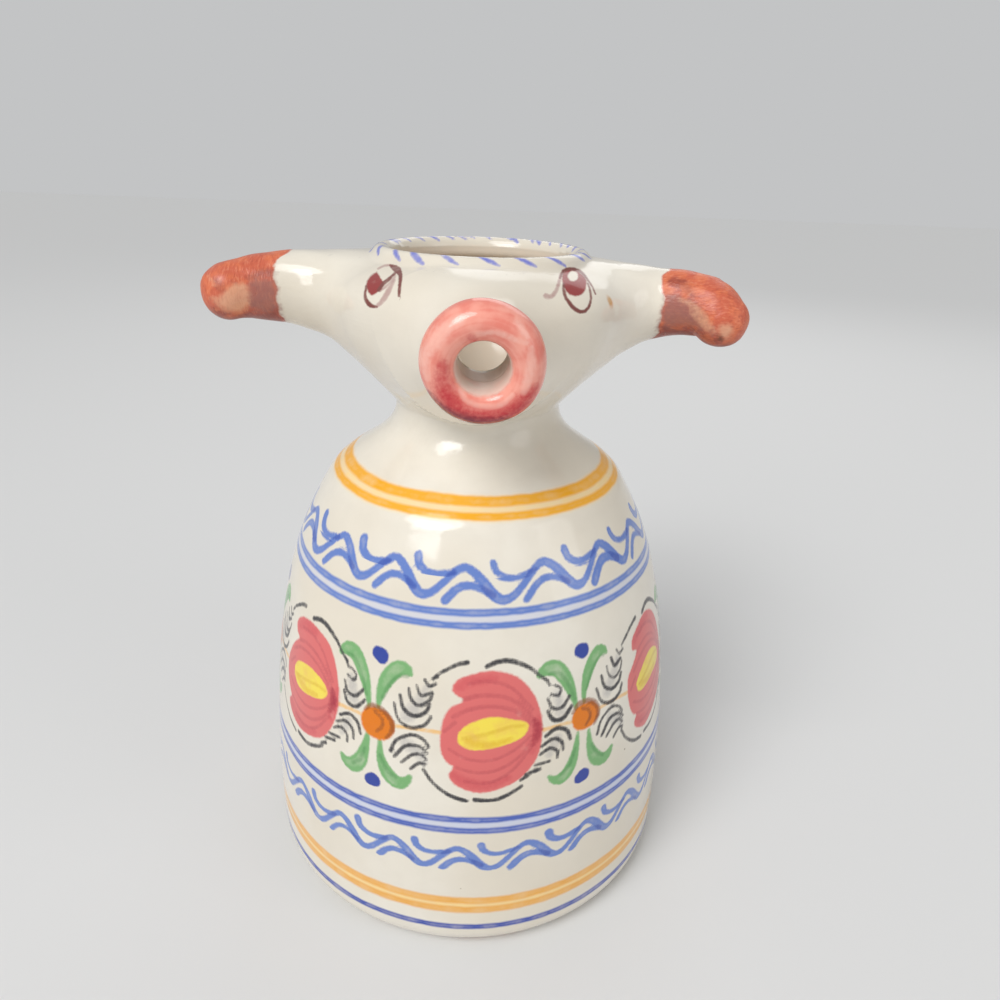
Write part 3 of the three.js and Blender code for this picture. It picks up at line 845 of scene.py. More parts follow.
def rolled_distance(points, marks, line):
    """How far points lie outside a hand-rolled bar, with shallow dents where fingers pressed it."""
    place, radius = nearest_on(points, marks, line)
    dents = np.sin(points @ (0.42, 0.3, 0.25)) * np.sin(points @ (-0.1, 0.37, 0.45))
    return np.linalg.norm(points - place, axis=1) - radius + 0.16 * dents


def strap_distance(points, marks, line):
    """How far points lie outside the handle's strap, whose section is an ellipse."""
    place, width = nearest_on(points * (0, 1, 1), marks, line)
    thick = np.linalg.norm((points - place)[:, 1:], axis=1) / HANDLE_HALF_THICKNESS
    across = points[:, 0] / width
    scaled = np.hypot(across, thick) + 1e-9
    slope = np.hypot(across / width, thick / HANDLE_HALF_THICKNESS) + 1e-9
    return scaled * (scaled - 1) / slope


muzzle_end = BORE_START + (MUZZLE_END_REACH + 3) * BORE_AXIS
muzzle_length = np.linalg.norm(muzzle_end - MUZZLE_ROOT)
muzzle_axis = (muzzle_end - MUZZLE_ROOT) / muzzle_length
muzzle_flare = np.array(bend(
    (MUZZLE_ROOT_RADIUS, 0),
    (MUZZLE_END_RADIUS + 3.4, muzzle_length * 0.4),
    (MUZZLE_END_RADIUS, muzzle_length * 0.7),
    (MUZZLE_END_RADIUS, muzzle_length),
))


def along_and_across(points, start, axis):
    """How far points lie along an axis from its start, and how far away from it."""
    away = points - start
    along = away @ axis
    return along, np.linalg.norm(away - along[:, None] * axis, axis=1)


def muzzle_distance(points):
    along, across = along_and_across(points, MUZZLE_ROOT, muzzle_axis)
    flare = np.interp(along, muzzle_flare[:, 1], muzzle_flare[:, 0])
    side = cut_by((across - flare) * FLARE_STEEPNESS, along + MUZZLE_BACK, MUZZLE_FILLET)
    reach = (points - BORE_START) @ BORE_AXIS
    return np.maximum(side, reach - MUZZLE_END_REACH - SLIP)


def luted(field, points, near, width, distance, *line):
    """Blends another piece of clay into the field where points are near it."""
    field[near] = blended(field[near], distance(points[near], *line), width)


def clay_distance(points):
    """How far points (mm) lie outside the clay of the shoulder, head, horns and handle."""
    x, y, height = points.T
    radius = np.hypot(x, y)
    over = height - CROWN_HEIGHT
    # Above the crown the wall's clay runs on as a low dome, which the lip and the mouth take up.
    dome = np.maximum((radius - RIM_RADIUS + over * 2) * 0.45, 0.9 * over)
    clay = np.where(over > 0, dome, wall_distance(points, 0))
    luted(clay, points, y > 25, HANDLE_FILLET, strap_distance, handle_marks, handle_line)
    luted(clay, points, (y < -20) & (height > 150), MUZZLE_FILLET, muzzle_distance)
    for hand, line in zip((-1, 1), horn_lines.values()):
        luted(clay, points, (hand * x > 20) & (height > 155), HORN_FILLET, rolled_distance, *line)
    clay = cut_by(clay, HORN_TOP - height, CUT_EDGE)
    lip_half = WALL_THICKNESS / 2
    lip_share = np.hypot((radius - RIM_RADIUS + lip_half) / lip_half, over / LIP_HEIGHT)
    clay = blended(clay, (lip_share - 1) * LIP_MEAN_RADIUS, LIP_FILLET)
    mouth = radius - RIM_RADIUS + WALL_THICKNESS
    inside = np.where(over > 0, mouth, wall_distance(points, WALL_THICKNESS))
    clay = np.maximum(clay, -np.maximum(inside, blended(mouth, height - MOUTH_FOOT, CUT_EDGE)))
    bore_along, bore_across = along_and_across(points, BORE_START, BORE_AXIS)
    bore_radius = np.interp(bore_along, FUNNEL_REACHES, [FUNNEL_RADIUS, BORE_RADIUS])
    bore = np.maximum(bore_across - bore_radius, BORE_BACK - bore_along)
    return np.maximum(cut_by(clay, bore, BORE_EDGE), COLLAR_HEIGHT - SKIRT - height)


def outline_between(low, high):
    """The turned outline's points between two heights, with one at each."""
    middle = [(r, z) for r, z in outline if low + 0.2 < z < high - 0.2]
    ends = [(radius_at(z), z) for z in (low, high)]
    return [ends[0], *middle, ends[1]]


# Rough clay: a solid turned form with balls of clay set close along the horns, the muzzle and the
# handle. The hollow and the bore are cut from it, and then every point is drawn on to the skin.
GRAIN, ROUGH_STEPS = 0.95, 96


def closed_spin(profile, steps):
    """A solid turned from a profile that starts and ends on the axis."""
    mesh = spun(profile, steps, closed=False)
    close_up(mesh)
    return mesh


ball_mesh = bmesh.new()
bmesh.ops.create_uvsphere(ball_mesh, u_segments=16, v_segments=10, radius=1)
ball = bpy.data.meshes.new("clay_ball")
ball_mesh.to_mesh(ball)
ball_mesh.free()
rough_wall = outline_between(COLLAR_HEIGHT - SKIRT, CROWN_HEIGHT)
rough_top = [(RIM_RADIUS - 1, RIM_HEIGHT - 0.5), (0, RIM_HEIGHT - 0.5)]
rough = closed_spin([(0, COLLAR_HEIGHT - SKIRT), *rough_wall, *rough_top], ROUGH_STEPS)


def add_clay(place, radii):
    """Adds a ball of clay, pulled to those radii, to the rough form."""
    shape = Matrix.Translation(place) @ Matrix.Diagonal((*radii, 1))
    ball.transform(shape)
    rough.from_mesh(ball)
    ball.transform(shape.inverted())


for _, line in horn_lines.values():
    for x, y, z, radius in line[::4]:
        add_clay((x, y, z), (radius, radius, radius))
for share in np.linspace(-7, muzzle_length - 4, 11):
    radius = float(np.interp(share, muzzle_flare[:, 1], muzzle_flare[:, 0]))
    add_clay(MUZZLE_ROOT + muzzle_axis * share, (radius, 3, radius))
for x, y, z, width in handle_line[3:-3:2]:
    add_clay((x, y, z), (width, HANDLE_HALF_THICKNESS, HANDLE_HALF_THICKNESS))
rough_clay = object_from("rough_clay", rough)
hollow_wall = [
    (radius - WALL_THICKNESS if height < MOUTH_FOOT else RIM_RADIUS - WALL_THICKNESS, height)
    for radius, height in rough_wall
]
hollow_foot, hollow_top = COLLAR_HEIGHT - 10, RIM_HEIGHT + 5
hollow = [
    (0, hollow_foot), (hollow_wall[0][0], hollow_foot), *hollow_wall,
    (hollow_wall[-1][0], hollow_top), (0, hollow_top),
]
rough_bore = [(0, BORE_BACK), (10, BORE_BACK), (10, 33), (6, 44), (6, 60), (0, 60)]
cutters = [
    object_from("hollow", closed_spin(hollow, ROUGH_STEPS)),
    object_from("bore", closed_spin(rough_bore, 24)),
]
bore_frame = Vector(BORE_AXIS).to_track_quat("Z", "Y").to_matrix().to_4x4()
cutters[1].data.transform(Matrix.Translation(BORE_START) @ bore_frame)


def voxel_remesh():
    remesh = rough_clay.modifiers.new("remesh", "REMESH")
    remesh.mode = "VOXEL"
    remesh.voxel_size = GRAIN


voxel_remesh()
for cutter in cutters:
    boolean = rough_clay.modifiers.new("cut", "BOOLEAN")
    boolean.operation = "DIFFERENCE"
    boolean.object = cutter
voxel_remesh()
depsgraph = bpy.context.evaluated_depsgraph_get()
skin_data = bpy.data.meshes.new_from_object(rough_clay.evaluated_get(depsgraph))
for used in (rough_clay, *cutters):
    bpy.data.objects.remove(used)
EYES = {"left": (-23.8, -25, 190.4), "right": (25.2, -25, 191.5)}
EYE_REACH = 12.6
RIM_BAND_FOOT, RIM_BAND = 194, (28.5, 35.5)
refined = bmesh.new()
refined.from_mesh(skin_data)
for marked, cuts in (("rim", 1), ("eyes", 3)):
    refined.verts.ensure_lookup_table()
    points = np.array([vert.co for vert in refined.verts])
    outer = wall_distance(points, WALL_THICKNESS / 2) > 0
    if marked == "rim":
        radius = np.hypot(points[:, 0], points[:, 1])
        near = (points[:, 2] > RIM_BAND_FOOT) & (radius > RIM_BAND[0]) & (radius < RIM_BAND[1])
    else:
        gaps = [np.linalg.norm(points - eye, axis=1) for eye in EYES.values()]
        near = outer & (np.min(gaps, axis=0) < EYE_REACH)
    edges = [edge for edge in refined.edges if all(near[vert.index] for vert in edge.verts)]
    bmesh.ops.subdivide_edges(refined, edges=edges, cuts=cuts, use_grid_fill=True)
bmesh.ops.triangulate(refined, faces=[face for face in refined.faces if len(face.verts) > 4])
refined.to_mesh(skin_data)
refined.free()
places = read(skin_data.vertices, "co", width=3)
DRAWING_TURNS, LONGEST_MOVE = 5, 1.2
for turn in range(DRAWING_TURNS):
    value, slope = value_and_slope(clay_distance, places)
    move = value / np.maximum((slope * slope).sum(axis=1), 0.3)
    places -= np.clip(move, -LONGEST_MOVE, LONGEST_MOVE)[:, None] * slope
skin_data.vertices.foreach_set("co", places.ravel())
skin_data.update()


def cut_out(name, *planes):
    """The part of the skin on the far side of each plane, closed with a flat joint face."""
    mesh = bmesh.new()
    mesh.from_mesh(skin_data)
    for face in mesh.faces:
        face.smooth = True
    for place, direction in planes:
        whole = mesh.verts[:] + mesh.edges[:] + mesh.faces[:]
        cut = bmesh.ops.bisect_plane(
            mesh, geom=whole, plane_co=place, plane_no=direction, clear_inner=True
        )
        edges = [item for item in cut["geom_cut"] if isinstance(item, bmesh.types.BMEdge)]
        joint = bmesh.ops.triangle_fill(mesh, use_beauty=True, edges=edges, normal=direction)
        for item in joint["geom"]:
            if isinstance(item, bmesh.types.BMFace):
                item.smooth = False
    bmesh.ops.recalc_face_normals(mesh, faces=mesh.faces)
    piece = in_metres(name, mesh)
    shade_from(piece, clay_distance)
    store_inside(piece)
    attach(piece, "root")
    return piece


# The joints: a place on each one's plane, and the directions that the planes face.
collar_cut, neck_cut, lip_cut = (0, 0, COLLAR_HEIGHT), (0, 0, NECK_HEIGHT), (0, 0, HORN_TOP - 0.4)
left_cut, right_cut = (-44, 0, 0), (44, 0, 0)
muzzle_cut, thumb_cut = tuple(BORE_START + 46 * BORE_AXIS), (0, 49, 0)
tail_cut, tail_axis = (0, 53, 139), Vector((0, 0.625, 0.781))
UP, DOWN, LEFT, RIGHT, FRONT, BACK = (0, 0, 1), (0, 0, -1), (-1, 0, 0), (1, 0, 0), (0, -1, 0), (0, 1, 0)
joints = {
    "shoulder": [(collar_cut, UP), (neck_cut, DOWN), (tail_cut, -tail_axis)],
    "head_bowl": [
        (neck_cut, UP), (lip_cut, DOWN), (thumb_cut, FRONT), (muzzle_cut, tuple(-BORE_AXIS)),
        (left_cut, RIGHT), (right_cut, LEFT),
    ],
    "mouth_lip": [(lip_cut, UP)],
    "muzzle": [(neck_cut, UP), (muzzle_cut, tuple(BORE_AXIS))],
    "horn_left": [(neck_cut, UP), (left_cut, LEFT)],
    "horn_right": [(neck_cut, UP), (right_cut, RIGHT)],
    "handle": [(thumb_cut, BACK), (tail_cut, tail_axis)],
}
pieces = {node: cut_out(node, *planes) for node, planes in joints.items()}
for node, piece in pieces.items():
    piece.name = "clay_" + node
    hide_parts(node)
shoulder_waves = wave_fields(places_of(pieces["shoulder"]), *UPPER_WAVE)
for name, field in zip(("wave", "wave_twice"), shoulder_waves):
    store(pieces["shoulder"], name, field)
painted_glaze(pieces["shoulder"], "shoulder glaze", [
    ((137, 2.3), YELLOW_WASH, 0.8, 0.7, 0),
    ((138.4, 0.95), YELLOW, 0.9, 0.35, 0.4),
    ((135.6, 0.75), YELLOW, 0.9, 0.35, 0.4),
    *WAVE_LAYERS,
    INSIDE_LAYER,
])


# The face is painted in dark red and brown, and short blue dashes slant down over the mouth's rim. The
# eyes are drawn as the viewer sees them, in mm from each eye's middle.
def in_view(points, middle):
    """Where the viewer sees the points: mm across and up from a middle, at the middle's distance."""
    away = np.vstack([points, middle]) - np.array(CAMERA_PLACE) / MM
    depth = away @ np.array(ahead)
    seen = np.column_stack([away @ np.array(VIEW_RIGHT), away @ np.array(VIEW_UP)]) / depth[:, None]
    return (seen[:-1] - seen[-1]) * depth[-1]


eye_shapes = {
    "left": {
        "iris": [
            (-2, 4.9), (-3.3, 4.1), (-4.4, 2.8), (-4.7, 1.4), (-4.4, 0.1), (-3.6, -1), (-2.6, -0.9),
            (-1.5, 0.1), (-0.5, 1.2), (-0.3, 2.2), (-1, 3.2), (-1.6, 4.3),
        ],
        "line": [
            [(-1.5, 0.2, 0.5), (-0.4, 1.8, 0.5), (0.8, 2.8, 0.45), (1.9, 3.8, 0.35), (2.7, 4.6, 0.35)],
            [(-4.7, 1.2, 0.3), (-5, -0.4, 0.35), (-4.9, -1.9, 0.45), (-4.2, -3.2, 0.6),
             (-3.3, -3.9, 0.55), (-2.1, -4.1, 0.3)],
            [(1.5, 6.5, 0.35), (2.4, 6, 0.75), (3.3, 5.4, 0.95), (3.9, 4.5, 0.65), (4.1, 3.3, 0.5),
             (3.9, 1.7, 0.45), (3.8, 0.2, 0.42), (3.7, -1.2, 0.4), (3.9, -2.2, 0.25)],
        ],
        "faint": [
            [(-2.1, -4, 0.4), (-0.7, -2.7, 0.6), (0.4, -1.1, 0.7), (1.4, 0.9, 0.6), (2.4, 2.8, 0.4)],
            [(-1.2, 0, 0.3), (0.7, 1.4, 0.35), (2, 2.8, 0.35), (2.7, 3.9, 0.3)],
            [(-1.7, 5.7, 0.2), (0, 6.5, 0.25), (1.7, 6.6, 0.25)],
        ],
    },
    "right": {
        "iris": [
            (-3.5, 4.4), (-3.2, 2.6), (-2.5, 0.9), (-1.4, -0.2), (0.3, -0.6), (1.6, -0.2), (2.5, 0.9),
            (2.9, 2.8), (2.5, 4.2), (1.4, 5.3), (-0.1, 6.1), (-1.9, 6.2), (-3, 5.5),
        ],
        "line": [
            [(-3.9, 4.1, 0.3), (-3, 5.9, 0.42), (-1.2, 6.4, 0.42), (0.5, 6.1, 0.4), (2.1, 5, 0.35),
             (3.2, 3.5, 0.27), (4.3, 1.9, 0.22), (5.2, -0.1, 0.18)],
            [(-3, 2.6, 0.3), (-3, 1, 0.4), (-2.5, -0.9, 0.45), (-1.5, -2.4, 0.5), (-0.3, -3.8, 0.55),
             (1.4, -4.7, 0.5), (2.7, -4.4, 0.42), (3.6, -3.1, 0.36), (4, -1.4, 0.32), (3.8, 0.8, 0.28),
             (3.2, 2.6, 0.25)],
        ],
        "faint": [
            [(-3.7, 5, 0.35), (-4.1, 3.3, 0.42), (-4.5, 1.9, 0.45), (-5, 0.6, 0.5), (-5.9, -0.5, 0.55),
             (-6.9, -0.9, 0.65), (-7.6, -0.5, 0.7)],
        ],
    },
}
EYE_LIGHTS = {"left": (0.6, 4.6, 1.3), "right": (-0.6, 4.5, 1.3)}
head = pieces["head_bowl"]
head_places = places_of(head)
outer_head = wall_distance(head_places, WALL_THICKNESS / 2) > 0
eye_fields = {name: blank(head_places) for name in ("iris", "line", "faint")}
for side, shapes in eye_shapes.items():
    away = head_places - EYES[side]
    here = outer_head & (np.linalg.norm(away, axis=1) < EYE_REACH + 6)
    points = in_view(head_places[here], EYES[side])
    across, up, half = EYE_LIGHTS[side]
    light = half - np.linalg.norm(points - (across, up), axis=1)
    eye_fields["iris"][0, here] = np.maximum(filled(points, shapes["iris"]), light)
    for name in ("line", "faint"):
        paint(eye_fields[name], here, points, [stroke(marks) for marks in shapes[name]])
for name, fields in eye_fields.items():
    store(head, name, fields[0])
DASH_DEGREE, LIP_RADIUS, LIP_TOP_DOWN = 0.55, 28.3, -1.46
SLOPE_RADIUS, SLOPE_HEIGHT, SLOPE_OUT, SLOPE_DROP = 29.6, 199.2, 0.66, 0.75
dash_slots = np.r_[np.arange(-103, 100, 18), np.arange(107, 250, 9.5)]
dash_slots = dash_slots + hand_random.normal(0, 1.6, len(dash_slots))
dash = stroke([
    (-3.8, -3.1, 0.45), (-2.6, -2.1, 0.65), (-1.2, -1.1, 0.75), (1.1, 0.4, 0.75), (3.3, 1.6, 0.35),
], 9)


def dash_field(points):
    """The rim's dashes, in mm round the rim and down its slope, which starts inside the lip's top."""
    angle, radius, height = turned_angle(points), np.hypot(points[:, 0], points[:, 1]), points[:, 2]
    outer_down = (radius - SLOPE_RADIUS) * SLOPE_OUT + (SLOPE_HEIGHT - height) * SLOPE_DROP
    inner_down = LIP_TOP_DOWN - (LIP_RADIUS - radius) * SLOPE_OUT - (RIM_HEIGHT - height) * SLOPE_DROP
    down = np.where(radius < LIP_RADIUS, inner_down, outer_down)
    fields = blank(points)
    for slot in dash_slots:
        away = wrapped(angle - slot) * DASH_DEGREE
        here = (radius > 25) & (height > 190) & (np.abs(away) < 9)
        paint(fields, here, np.column_stack([away, down])[here], by_hand([dash], 0.3, 0.15))
    return fields[0]


# The same hand draws on both pieces, so that each dash runs on over their joint.
for node in ("head_bowl", "mouth_lip"):
    hand_random = np.random.default_rng(5)
    store(pieces[node], "dash", dash_field(places_of(pieces[node])))
# A tan spot of iron shows in the glaze between the right eye and the horn.
SPOT, SPOT_RADIUS = (34.6, -22.6, 189.6), 1.1
store(head, "spot", np.linalg.norm((head_places - SPOT) * (1, 1, 0.7), axis=1) - SPOT_RADIUS)
DASH_LAYER = ("dash", pigment(112, 122, 206), 0.8, 0.45, 0.5)
painted_glaze(head, "head glaze", [
    ("spot", pigment(206, 152, 84), 0.8, 0.7, 0),
    DASH_LAYER,
    ("faint", pigment(176, 136, 132), 0.75, 0.3, 0.2),
    ("iris", pigment(150, 62, 60), 1.25, 0.3, 0.4),
    ("line", pigment(126, 72, 66), 1.0, 0.22, 0.2),
    INSIDE_LAYER,
])
painted_glaze(pieces["mouth_lip"], "lip glaze", [INSIDE_LAYER, DASH_LAYER])


# Inside the bore the glaze lies thin, pinkish grey and dull.
BORE_LAYER, BORE_ROUGHNESS = ("bore", pigment(230, 212, 198), 0.9, 0.4, 0), 0.35


def dull_in_bore(tree, shader, skin):
    """Makes the glaze rougher where the bore's field is negative."""
    thin = ranged(tree, attribute(tree, "bore"), -0.4, 0.2, BORE_ROUGHNESS, 0)
    tree.links.new(calc(tree, "ADD", skin["Roughness"], thin), shader.inputs["Roughness"])


muzzle = pieces["muzzle"]
from_bore = along_and_across(places_of(muzzle), BORE_START, BORE_AXIS)[1]
store(muzzle, "bore", from_bore - BORE_RADIUS - 0.6)
tree, shader, _, skin = painted_glaze(muzzle, "muzzle glaze", [INSIDE_LAYER, BORE_LAYER])
dull_in_bore(tree, shader, skin)


# The horns are brushed with an orange-brown glaze that ends in an uneven edge. A dark plum runs along
# the undersides and in deep strokes below the orange band as painted shade, the plum patches are the
# glaze's colour with a painted sheen, places are rubbed to a pale salmon, the left has a bare streak and
# the right a dark pit. All are drawn as the viewer sees them, in mm from a place inside each horn.
GLAZE_EDGES, SHADED_UNDERSIDE = {"horn_left": 54.5, "horn_right": 51.5}, 5.4
EDGE_WAVES = ((1, 1.3), (3, 0.7), (5, 0.5), (11, 0.25))
HORN_MIDDLES = {"horn_left": (-66, -8, 184), "horn_right": (62, -8, 182)}
# The plum patches are the glaze's own plum with a painted sheen in it.
horn_outlines = {
    "horn_left": {
        "plum": [
            (1.2, 5.4), (3.4, 5.9), (6.2, 5.7), (9.6, 5.1), (11.5, 3.5), (12.3, 0.4), (11.8, -2.1),
            (9.9, -2.3), (7.7, -3.3), (4.6, -3.5), (1.5, -2.3), (0.5, 0.4), (0.7, 3.2),
        ],
        "rubbed": [
            (-5.1, 2.9), (-3.5, 4.2), (-0.4, 4.4), (0.9, 2.9), (1.2, 0.4), (0.8, -2.1), (-1.6, -3.6),
            (-4.8, -3.3), (-7, -2.1), (-7.9, -0.2), (-6.3, 1.7),
        ],
    },
    "horn_right": {
        "plum": [
            (-10.5, 7.3), (-8.9, 8.3), (-5.8, 8.1), (-2.6, 6.8), (-0.4, 5.6), (1.8, 3.1), (3.6, -0.1),
            (4.9, -3.2), (3.6, -3.4), (1.1, -2.2), (-2.6, -0.8), (-5.8, -0.8), (-8.9, -0.8),
            (-11.1, 1.8), (-11.8, 4.3),
        ],
        "rubbed": [(5.8, -1), (7.4, -0.2), (9.3, -0.7), (9.6, -2.6), (8, -4.2), (6.2, -3.4)],
    },
}
# The deep strokes are painted shade along the lower edges and under the orange band.
horn_strokes = {
    "horn_left": {
        "deep": [
            [(-8.5, -3.3, 0.8), (-4.8, -4.9, 1.1), (-0.1, -5.3, 1.1), (5.2, -5.3, 1.2), (9, -4.6, 1.0)],
            [(1.2, 6.2, 0.5), (5.2, 7.4, 0.9), (8.4, 7.2, 0.6)],
            [(-8.2, 5.1, 0.8), (-6.9, 3.5, 0.9), (-6.2, 2.4, 0.5)],
        ],
        "rubbed": [
            [(-10.4, 6.4, 0.3), (-9.2, 5.1, 0.5), (-8.5, 4, 0.3)],
            [(-9.4, 0.6, 0.4), (-7.9, -0.5, 0.8), (-6.5, -2, 0.6)],
        ],
        "bare": [[(8.2, 9.2, 0.4), (10.2, 7.3, 0.75), (12.6, 5.4, 0.5)]],
    },
    "horn_right": {
        "deep": [
            [(-9, -2.6, 0.9), (-4.5, -1.8, 0.9), (-0.8, -2.4, 1.0), (2.4, -4.2, 1.0), (4.9, -5.6, 0.8)],
            [(-8, 12, 0.9), (-4.8, 11.3, 1.4), (-2.6, 9.3, 1.3), (-1.8, 7.6, 0.6)],
        ],
        "rubbed": [
            [(-5.8, 6.9, 0.3), (-2.6, 5.8, 0.6), (-0.1, 3.7, 0.75), (2.4, 0.9, 0.7), (4.3, -2.3, 0.4)],
            [(-2, 3.3, 0.4), (0.5, 0.7, 0.7), (2.6, -1.6, 0.5)],
        ],
        "pit": [[(5.4, -3.6, 0.5), (6.2, -4.2, 0.8), (7, -4.5, 0.5)]],
    },
}
# How many hairs of the brush fit in a mm along each axis: each horn is brushed its own way.
BRUSHED = {"horn_left": (2.0, 0.45, 0.6), "horn_right": (0.6, 1.6, 1.6)}
for node, start in GLAZE_EDGES.items():
    horn = pieces[node]
    points = places_of(horn)
    axis_places, _ = nearest_on(points, *horn_lines[node])
    lift, behind = points[:, 2] - axis_places[:, 2], points[:, 1] - axis_places[:, 1]
    round_axis = np.arctan2(lift, behind)
    uneven = sum(size * np.sin(round_axis * turns + turns * start) for turns, size in EDGE_WAVES)
    seen = in_view(points, HORN_MIDDLES[node])
    horn_fields = {name: blank(points) for name in ("deep", "plum", "rubbed", "pit", "bare")}
    for name, marks in horn_strokes[node].items():
        paint(horn_fields[name], EVERYWHERE, seen, [stroke(mark) for mark in marks])
    for name, corners in horn_outlines[node].items():
        horn_fields[name][0] = np.minimum(horn_fields[name][0], filled(seen, corners))
    shown = {name: fields[0] + np.maximum(0, behind) for name, fields in horn_fields.items()}
    # Painted shade: the deep colour runs on all along each horn's underside.
    shown["deep"] = np.minimum(shown["deep"], lift + SHADED_UNDERSIDE + 0.5 * np.sin(points[:, 0] * 0.7))
    brown = np.maximum(start + uneven - np.abs(points[:, 0]), -shown.pop("bare"))
    store(horn, "brown", brown)
    shown["patch"] = np.min([shown["plum"], shown["rubbed"], shown["deep"] + 0.6], axis=0)
    for name, values in shown.items():
        store(horn, name, np.maximum(values, brown))
    # The deep layer is painted shade and the plum layer is partly painted sheen.
    tree, shader, colour, skin = painted_glaze(horn, node + " glaze", [
        ("brown", pigment(204, 100, 72), 1.3, 0.45, 0.2),
        ("deep", pigment(130, 60, 50), 0.95, 1.9, 0),
        ("plum", pigment(160, 104, 94), 1.0, 1.4, 0),
        ("rubbed", pigment(230, 172, 138), 0.95, 1.2, 0),
        ("pit", pigment(112, 62, 40), 1.1, 0.7, 0),
    ])
    painted_share = ranged(tree, attribute(tree, "brown"), -0.8, 0.2, 1, 0)
    place = add_node(tree, "TexCoord").outputs["Object"]
    pulled = tuple(share / MM for share in BRUSHED[node])
    place = add_node(tree, "VectorMath", {0: place, 1: pulled}, operation="MULTIPLY").outputs[0]
    hairs = noise(tree, place, 1.0, 3)
    off_patches = ranged(tree, attribute(tree, "patch"), -1.2, 0.9, 0.3, 1.0)
    brushed_share = calc(tree, "MULTIPLY", off_patches, painted_share)
    blotches = calc(tree, "MULTIPLY", ranged(tree, skin["Load"], 0.44, 0.6, 0, 0.6), brushed_share)
    dark_hairs = calc(tree, "MULTIPLY", ranged(tree, hairs, 0.5, 0.7, 0, 0.34), brushed_share)
    pale_hairs = calc(tree, "MULTIPLY", ranged(tree, hairs, 0.3, 0.48, 0.32, 0), brushed_share)
    colour = mixed(tree, blotches, colour, pigment(226, 122, 78))
    colour = mixed(tree, dark_hairs, colour, pigment(150, 58, 42))
    colour = mixed(tree, pale_hairs, colour, pigment(236, 156, 122))
    coarse = calc(tree, "MULTIPLY", hairs, calc(tree, "MULTIPLY", painted_share, 0.12))
    tree.links.new(bumped(tree, coarse, skin["Normal"]), shader.inputs["Normal"])
    tree.links.new(colour, shader.inputs["Base Color"])
    dull = calc(tree, "MULTIPLY", painted_share, ranged(tree, skin["Load"], 0.3, 0.7, 0.2, 0.36))
    tree.links.new(calc(tree, "ADD", skin["Roughness"], dull), shader.inputs["Roughness"])


# The handle is a pulled strap. The photograph doesn't show it, so it carries only plain blue strokes
# across its back, as the rim does.
BACK_FROM, STROKE_HEIGHTS = 52, range(144, 184, 8)
handle = pieces["handle"]
points = places_of(handle)
fields = blank(points)
outer_side = points[:, 1] > np.interp(points[:, 2], handle_line[::-1, 2], handle_line[::-1, 1])
back = (points[:, 1] > BACK_FROM) & outer_side
back_strokes = [
    stroke([(-7.5, up + 1.5, 0.5), (-2, up - 0.2, 1.0), (3, up - 0.6, 1.0), (7.5, up + 0.8, 0.4)])
    for up in STROKE_HEIGHTS
]
paint(fields, back, points[back][:, (0, 2)], by_hand(back_strokes, 0.3))
store(handle, "stroke", fields[0])
painted_glaze(handle, "handle glaze", [("stroke", BLUE, 0.85, 0.35, 0.4)])


# The snout's ring is rolled clay pressed on the muzzle's end round the bore, brushed with pink glaze in
# overlapping strokes: pale on top, partly as painted highlight, and deep red and plum round the bottom,
# partly as painted shade. Its section is a profile of radius and reach along the bore's axis.
RING_SEAT, RING_MOUTH, RING_RADIUS, RING_STEPS, RING_ROWS = 51.7, 57.3, 14.8, 200, 10
ring_bends = [
    [(MUZZLE_END_RADIUS, RING_SEAT), (RING_RADIUS, 52.5), (RING_RADIUS, 54.5), (RING_RADIUS, 55.5)],
    [(RING_RADIUS, 55.5), (RING_RADIUS, 58.5), (12.8, 60.9), (10.2, 60.9)],
    [(10.2, 60.9), (7.8, 60.9), (BORE_RADIUS, 59.5), (BORE_RADIUS, RING_MOUTH)],
]
ring_profile = [point for corners in ring_bends for point in bend(*corners, 22)[:-1]]
bore_rows = np.linspace(RING_MOUTH, RING_SEAT, RING_ROWS)
seat_rows = np.linspace(BORE_RADIUS, MUZZLE_END_RADIUS, RING_ROWS)[1:-1]
ring_profile += [(BORE_RADIUS, float(reach)) for reach in bore_rows]
ring_profile += [(float(radius), RING_SEAT) for radius in seat_rows]
ring_mesh = spun(ring_profile, RING_STEPS)
# Rolled by hand, the ring is never quite round.
for vert in ring_mesh.verts:
    turn = math.atan2(vert.co.y, vert.co.x)
    outer = min(max((vert.co.xy.length - 9) / 5, 0), 1)
    uneven = 0.12 * (1 + math.sin(2 * turn + 0.6)) + 0.07 * (1 + math.sin(5 * turn + 2))
    vert.co.xy *= 1 - outer * uneven / RING_RADIUS
ring_right = Vector((math.cos(BORE_TURN), math.sin(BORE_TURN), 0))
ring_up = Vector(BORE_AXIS).cross(ring_right)
ring_frame = Matrix((ring_right, ring_up, Vector(BORE_AXIS))).transposed().to_4x4()
ring_place = Matrix.Translation(BORE_START) @ ring_frame
bmesh.ops.transform(ring_mesh, matrix=ring_place, verts=ring_mesh.verts)
ring = finish_mesh("snout_ring_glazed", ring_mesh)
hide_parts("snout_ring")
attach(ring, "root")
away = places_of(ring) - BORE_START
points = np.column_stack([away @ np.array(ring_right), away @ np.array(ring_up)])
bearing, spread = np.arctan2(points[:, 1], points[:, 0]), np.linalg.norm(points, axis=1)
